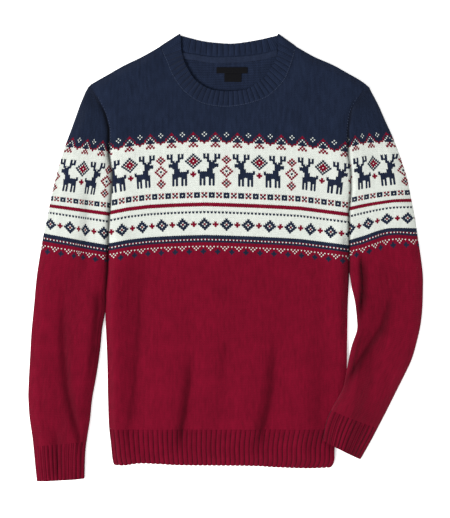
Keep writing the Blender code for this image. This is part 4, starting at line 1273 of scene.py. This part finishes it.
def row_ramp(tree, factor, codes):
    """A ColorRamp whose steps hold the codes of the rows."""
    node = add(tree, "ValToRGB", factor)
    steps = node.color_ramp
    steps.interpolation = "CONSTANT"
    steps.elements.remove(steps.elements[1])
    steps.elements[0].position = 0
    steps.elements[0].color = codes[0]
    for number in range(1, len(codes)):
        if codes[number] != codes[number - 1]:
            step = steps.elements.new(number / ROWS_TO_A_RAMP)
            step.color = codes[number]
    return node.outputs[0]


def stitch_place(tree):
    """The stitch and row numbers of the cloth."""
    node = add(tree, "UVMap")
    node.uv_map = "Stitch"
    return node.outputs[0]


def stitch_sockets(tree):
    """The place on the knit across and down, the place in the stitch aside of its middle and down it."""
    math = partial(calc, tree)
    place = stitch_place(tree)
    across, down = add(tree, "SeparateXYZ", place).outputs[:2]
    stitch = math("FLOOR", math("ADD", across, 0.5))
    aside = math("ABSOLUTE", math("SUBTRACT", across, stitch))
    dip = math("MULTIPLY_ADD", aside, 2 * VEE, 0.5 - VEE / 2)
    sunk = math("ADD", down, dip)
    part = math("SUBTRACT", sunk, math("FLOOR", sunk))
    return across, sunk, aside, part, place


def chart_code(tree, row, codes):
    """The masks of a knit row's navy and red stitches, its repeat and its middle, from the ramps."""
    math = partial(calc, tree)
    last = ROWS_TO_A_RAMP * RAMPS - 1
    number = math("MAXIMUM", math("MINIMUM", math("ADD", row, 1), last), 0)
    code = None
    for k in range(RAMPS):
        within = math("MULTIPLY_ADD", number, 1 / ROWS_TO_A_RAMP, 0.5 / ROWS_TO_A_RAMP - k)
        here = row_ramp(tree, within, codes[k * ROWS_TO_A_RAMP:(k + 1) * ROWS_TO_A_RAMP])
        past = math("GREATER_THAN", number, k * ROWS_TO_A_RAMP - 0.5)
        code = here if code is None else blend(tree, past, code, here)
    split = add(tree, "SeparateColor", code)
    masks = [math("FLOOR", math("MULTIPLY_ADD", mask, MASK_SCALE, 0.5)) for mask in split.outputs[:2]]
    repeat = math("FLOOR", math("MULTIPLY_ADD", split.outputs[2], CODE**2, 0.5))
    period = math("FLOOR", math("DIVIDE", math("ADD", repeat, 0.5), CODE))
    middle = math("SUBTRACT", repeat, math("MULTIPLY", period, CODE))
    return masks, period, middle


def charted(tree, stitch, masks, period, middle):
    """Whether a stitch is navy and whether it is red."""
    math = partial(calc, tree)
    half = math("MULTIPLY", period, 0.5)
    shifted = math("ADD", math("SUBTRACT", stitch, middle), half)
    folded = math("SUBTRACT", math("FLOORED_MODULO", math("ADD", shifted, 0.001), period), half)
    column = math("FLOOR", math("ADD", math("ABSOLUTE", folded), 0.5))
    power = math("POWER", 2, column)
    found = []
    for mask in masks:
        bits = math("FLOOR", math("DIVIDE", math("ADD", mask, 0.5), power))
        halves = math("MULTIPLY", bits, 0.5)
        odd = math("GREATER_THAN", math("SUBTRACT", halves, math("FLOOR", halves)), 0.25)
        found.append(odd)
    return found


def pattern_colour(tree, across, sunk, squares):
    """The colour of each stitch from the charts. The dark yarns swell a little over the cream beside them."""
    math = partial(calc, tree)
    codes = [row_code(*chart) for chart in chart_rows(squares)]
    navy, red = 0.0, 0.0
    for down in (-BLEED, BLEED):
        row = math("FLOOR", math("ADD", sunk, down))
        masks, period, middle = chart_code(tree, row, codes)
        for aside in (-BLEED, BLEED):
            stitch = math("FLOOR", math("ADD", across, aside + 0.5))
            is_navy, is_red = charted(tree, stitch, masks, period, middle)
            navy = math("ADD", navy, is_navy)
            red = math("ADD", red, is_red)
    dark = math("GREATER_THAN", math("ADD", navy, red), 0.5)
    redder = math("GREATER_THAN", red, navy)
    yarn_rough = math("MULTIPLY_ADD", redder, RED_LESS_ROUGH, DARK_ROUGH)
    rough = math("MULTIPLY_ADD", dark, yarn_rough, CREAM_ROUGH)
    return blend(tree, dark, CREAM, blend(tree, redder, NAVY, RED)), rough


def grain(tree, place, stretch, scale, detail, gain, base):
    """A fine noise over the knit, plain and as a share of its shade."""
    if stretch:
        place = add(tree, "Mapping", place, Scale=stretch).outputs[0]
    found = add(tree, "TexNoise", place, Scale=scale, Detail=detail).outputs[0]
    return found, calc(tree, "MULTIPLY_ADD", found, gain, base)


def new_material(name, values):
    """A material, its nodes and its shader with inputs set by name."""
    made = bpy.data.materials.new(name)
    made.use_nodes = True
    shader = made.node_tree.nodes["Principled BSDF"]
    for socket, value in values.items():
        shader.inputs[socket].default_value = value
    return made, made.node_tree, shader


def add_relief(tree, shader, height, strength, distance):
    """Let a height show as relief."""
    relief = add(tree, "Bump", Strength=strength, Distance=distance)
    tree.links.new(height, relief.inputs["Height"])
    tree.links.new(relief.outputs[0], shader.inputs["Normal"])


def knit_material(name, yarn, squares=0, ribs=0.0, purl=False):
    """A knitted cloth: yarn colours, V-shaped stitches, rib grooves, nap, and painted shade in grooves and
    creases.
    """
    made, tree, shader = new_material(name, KNIT_FINISH)
    math = partial(calc, tree)
    on_row, sunk, aside, part, place = stitch_sockets(tree)
    colour, rough = yarn, NAVY_ROUGH if yarn == NAVY else RIB_ROUGH
    if yarn is None:
        colour, rough = pattern_colour(tree, on_row, sunk, squares)
    down = math("MULTIPLY_ADD", part, 2, -1)
    leg = math("MULTIPLY_ADD", aside, 4, -1)
    across = down if purl else leg
    body, turn = (math("SUBTRACT", 1, math("MULTIPLY", way, way)) for way in (across, down))
    high = math("MULTIPLY_ADD", turn, 1 - LEG_SHARE, math("MULTIPLY", body, LEG_SHARE))
    fuzz, nap = grain(tree, place, *FUZZ)
    for kind in (MOTTLE, STREAKS, HAZE):
        nap = math("MULTIPLY", nap, grain(tree, place, *kind)[1])
    nap = math("MULTIPLY_ADD", math("SUBTRACT", nap, 1), rough, 1)
    # painted shade: the colour darkens in the grooves between the legs and rows of each stitch
    shade = math("MULTIPLY_ADD", high, PAINTED_GROOVE_SHADE, 1 - PAINTED_GROOVE_SHADE)
    shade = math("MULTIPLY", shade, nap)
    # painted shade: the colour darkens by each point's painted shade in creases, seams and hollows
    painted_shade_node = add(tree, "Attribute")
    painted_shade_node.attribute_name = "crease"
    lit = math("MULTIPLY_ADD", painted_shade_node.outputs["Fac"], -CREASE_SHADE, 1)
    shade = math("MULTIPLY", shade, lit)
    # painted shade: the colour darkens in the grooves between ribs, by the share ribs
    if ribs:
        beside = math("PINGPONG", on_row, 1)
        rise = math("MULTIPLY_ADD", beside, RIB_RISE, 1 - ribs)
        shade = math("MULTIPLY", shade, math("SMOOTH_MIN", 1, rise, RIB_SOFT))
    grey = add(tree, "CombineColor")
    for socket in grey.inputs[:3]:
        tree.links.new(shade, socket)
    tree.links.new(blend(tree, 1.0, colour, grey.outputs[0], "MULTIPLY"), shader.inputs["Base Color"])
    add_relief(tree, shader, math("MULTIPLY_ADD", fuzz, FUZZ_RELIEF, high), *KNIT_RELIEF)
    return made


def woven_material(name, colour):
    """A smooth woven cloth."""
    made, tree, shader = new_material(name, {**WOVEN_FINISH, "Base Color": (*colour, 1)})
    weave = add(tree, "TexWave", stitch_place(tree), Scale=WEAVE_SCALE)
    add_relief(tree, shader, weave.outputs[0], *WEAVE_RELIEF)
    return made


def build_links(name, line, heights, finish):
    """The light linking stitches along a seam, one small loop of thread each."""
    slope = np.gradient(line, axis=0)
    slope = slope / np.linalg.norm(slope, axis=1)[:, None]
    made = bpy.data.meshes.new(name)
    shaped = bmesh.new()
    for (x, y), (dx, dy), z in zip(line, slope, heights):
        loop = bmesh.ops.create_icosphere(shaped, subdivisions=1, radius=1.0)
        for vert in loop["verts"]:
            a, b, c = vert.co
            along, across = LINK_LONG * a, LINK_THICK * b
            vert.co = ((x + dx * along - dy * across) * MM, (y + dy * along + dx * across) * MM,
                       (z + LINK_THICK * c) * MM)
    shaped.to_mesh(made)
    shaped.free()
    made.polygons.foreach_set("use_smooth", np.ones(len(made.polygons), bool))
    made.materials.append(finish)
    piece = shown(name, made)
    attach(piece, "root")


def build_all_links(finish):
    """The linking stitches of the neckband and those that show on both armholes."""
    steps = np.linspace(0.02, 0.98, NECK_LINKS)
    line = at_share(seam_line(NECK_FRONT, LINK_IN), steps)
    near = smooth(np.minimum(steps, 1 - steps) / BAND_FRONT_END)
    middle = REST + BAND_THIN + (BAND_MID - REST - BAND_THIN) * near
    heights = middle + BAND_THIN + (BAND_WALL / 2 - BAND_THIN) * near + LINK_OVER_BAND
    build_links("neck_linking", line, heights, finish)
    y = np.arange(*ARMHOLE_LINKS)
    for name, seam, way in (("left_linking", SIDE_LEFT, 1), ("right_linking", SIDE_RIGHT, -1)):
        x = x_at(seam, y) + way * LINK_ASIDE
        build_links(name, stack(x, y), front_top(x, y) + LINK_OVER_FRONT, finish)


def light(name, place, size, power):
    """A soft square light that looks at the middle of the sweater."""
    lamp = bpy.data.lights.new(name, "AREA")
    lamp.shape = "SQUARE"
    lamp.size = size
    lamp.energy = power
    made = shown(name, lamp, place)
    x, y, z = place
    made.rotation_euler = (np.arctan2(np.hypot(x, y), z), 0, np.arctan2(-y, -x) - np.pi / 2)
    made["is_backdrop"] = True


def set_stage():
    """The floor, the studio light and the camera."""
    mesh = bpy.data.meshes.new("floor")
    places = [(FLOOR * a, FLOOR * b, FLOOR_LEVEL) for a, b in ((-1, -1), (1, -1), (1, 1), (-1, 1))]
    mesh.from_pydata(places, [], [(0, 1, 2, 3)])
    mesh.materials.append(new_material("floor_paper", PAPER_FINISH)[0])
    floor = shown("floor", mesh)
    floor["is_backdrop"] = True
    for lamp in LAMPS:
        light(*lamp)
    world = bpy.data.worlds.new("studio")
    world.use_nodes = True
    for socket, value in zip(world.node_tree.nodes["Background"].inputs, ((1, 1, 1, 1), SKY)):
        socket.default_value = value
    bpy.context.scene.world = world
    camera = bpy.data.cameras.new("camera")
    camera.lens = LENS
    made = shown("camera", camera, CAMERA)
    bpy.context.scene.camera = made
    made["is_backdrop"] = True
    bpy.context.scene.view_settings.view_transform = "Standard"


# piece, CAD node, slot, flat width and length in metres, area of the cut in square metres
CUTS = (
    ("front_knit", "front", "patterned_knit", (0.455, 0.632), 0.245),
    ("back_knit", "back", "patterned_knit", (0.455, 0.632), 0.262),
    ("sleeve_left_knit", "sleeve_left", "patterned_knit", (0.240, 0.592), 0.120),
    ("sleeve_right_knit", "sleeve_right", "patterned_knit", (0.250, 0.600), 0.120),
    ("hem_rib_front_knit", "hem_rib_front", "wine_knit", (0.380, 0.063), 0.0235),
    ("hem_rib_back_knit", "hem_rib_back", "wine_knit", (0.380, 0.063), 0.0235),
    ("cuff_left_knit", "cuff_left", "wine_knit", (0.190, 0.058), 0.0105),
    ("cuff_right_knit", "cuff_right", "wine_knit", (0.190, 0.058), 0.0105),
    ("neckband_knit", "neckband", "navy_knit", (0.560, 0.030), 0.0165),
    ("neck_tape_knit", "neck_tape", "navy_knit", (0.160, 0.0100), 0.00155),
    ("neck_label_woven", "neck_label", "black_woven", (0.051, 0.0100), 0.00051),
    ("size_tab_woven", "size_tab", "black_woven", (0.028, 0.0137), 0.00038),
)


def build_all():
    """Every piece of the sweater, on the frame's one body."""
    body = knit_material("patterned_knit", None)
    left_knit = knit_material("patterned_knit_left", None, squares=4)
    right_knit = knit_material("patterned_knit_right", None, squares=4)
    inside = knit_material("patterned_knit_inside", None, purl=True)
    wine = knit_material("wine_knit", RIB_RED, ribs=0.62)
    # the right cuff's copy of the wine knit, with deeper painted shade in its rib grooves for how the light
    # falls across that cuff
    wine_deeper_painted_shade = knit_material("wine_knit_right_deeper_painted_shade", RIB_RED, ribs=0.78)
    navy = knit_material("navy_knit", NAVY, ribs=0.22)
    tape = knit_material("navy_tape", TAPE)
    black = woven_material("black_woven", BLACK)
    thread = woven_material("linking_thread", THREAD)
    build_back([body, inside])
    build_front([body, inside])
    build_hem_back([wine])
    build_hem_front([wine])
    build_sleeve("sleeve_left_knit", LEFT, [left_knit, inside])
    build_sleeve("sleeve_right_knit", RIGHT, [right_knit, inside])
    build_cuff("cuff_left_knit", LEFT, [wine])
    build_cuff("cuff_right_knit", RIGHT, [wine_deeper_painted_shade])
    build_neckband([navy])
    build_tape([tape])
    build_plate("neck_label_woven", LABEL, [black])
    build_plate("size_tab_woven", SIZE_TAB, [black])
    build_all_links(thread)
    for name, node, slot, flat, area in CUTS:
        piece = bpy.data.objects[name]
        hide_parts(node)
        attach(piece, "root")


def save_size(sizes, when):
    """Keeps the shown object's bounds."""
    low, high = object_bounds()
    sizes[when] = [[float(v) for v in low], [float(v) for v in high]]


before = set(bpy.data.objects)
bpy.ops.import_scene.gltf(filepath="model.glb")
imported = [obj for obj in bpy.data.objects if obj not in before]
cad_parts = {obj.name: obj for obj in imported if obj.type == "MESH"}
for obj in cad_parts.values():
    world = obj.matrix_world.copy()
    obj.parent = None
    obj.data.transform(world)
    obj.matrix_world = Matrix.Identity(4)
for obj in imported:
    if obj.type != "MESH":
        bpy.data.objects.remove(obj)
sizes = {}
save_size(sizes, "frame")
build_all()
set_stage()
save_size(sizes, "visual")
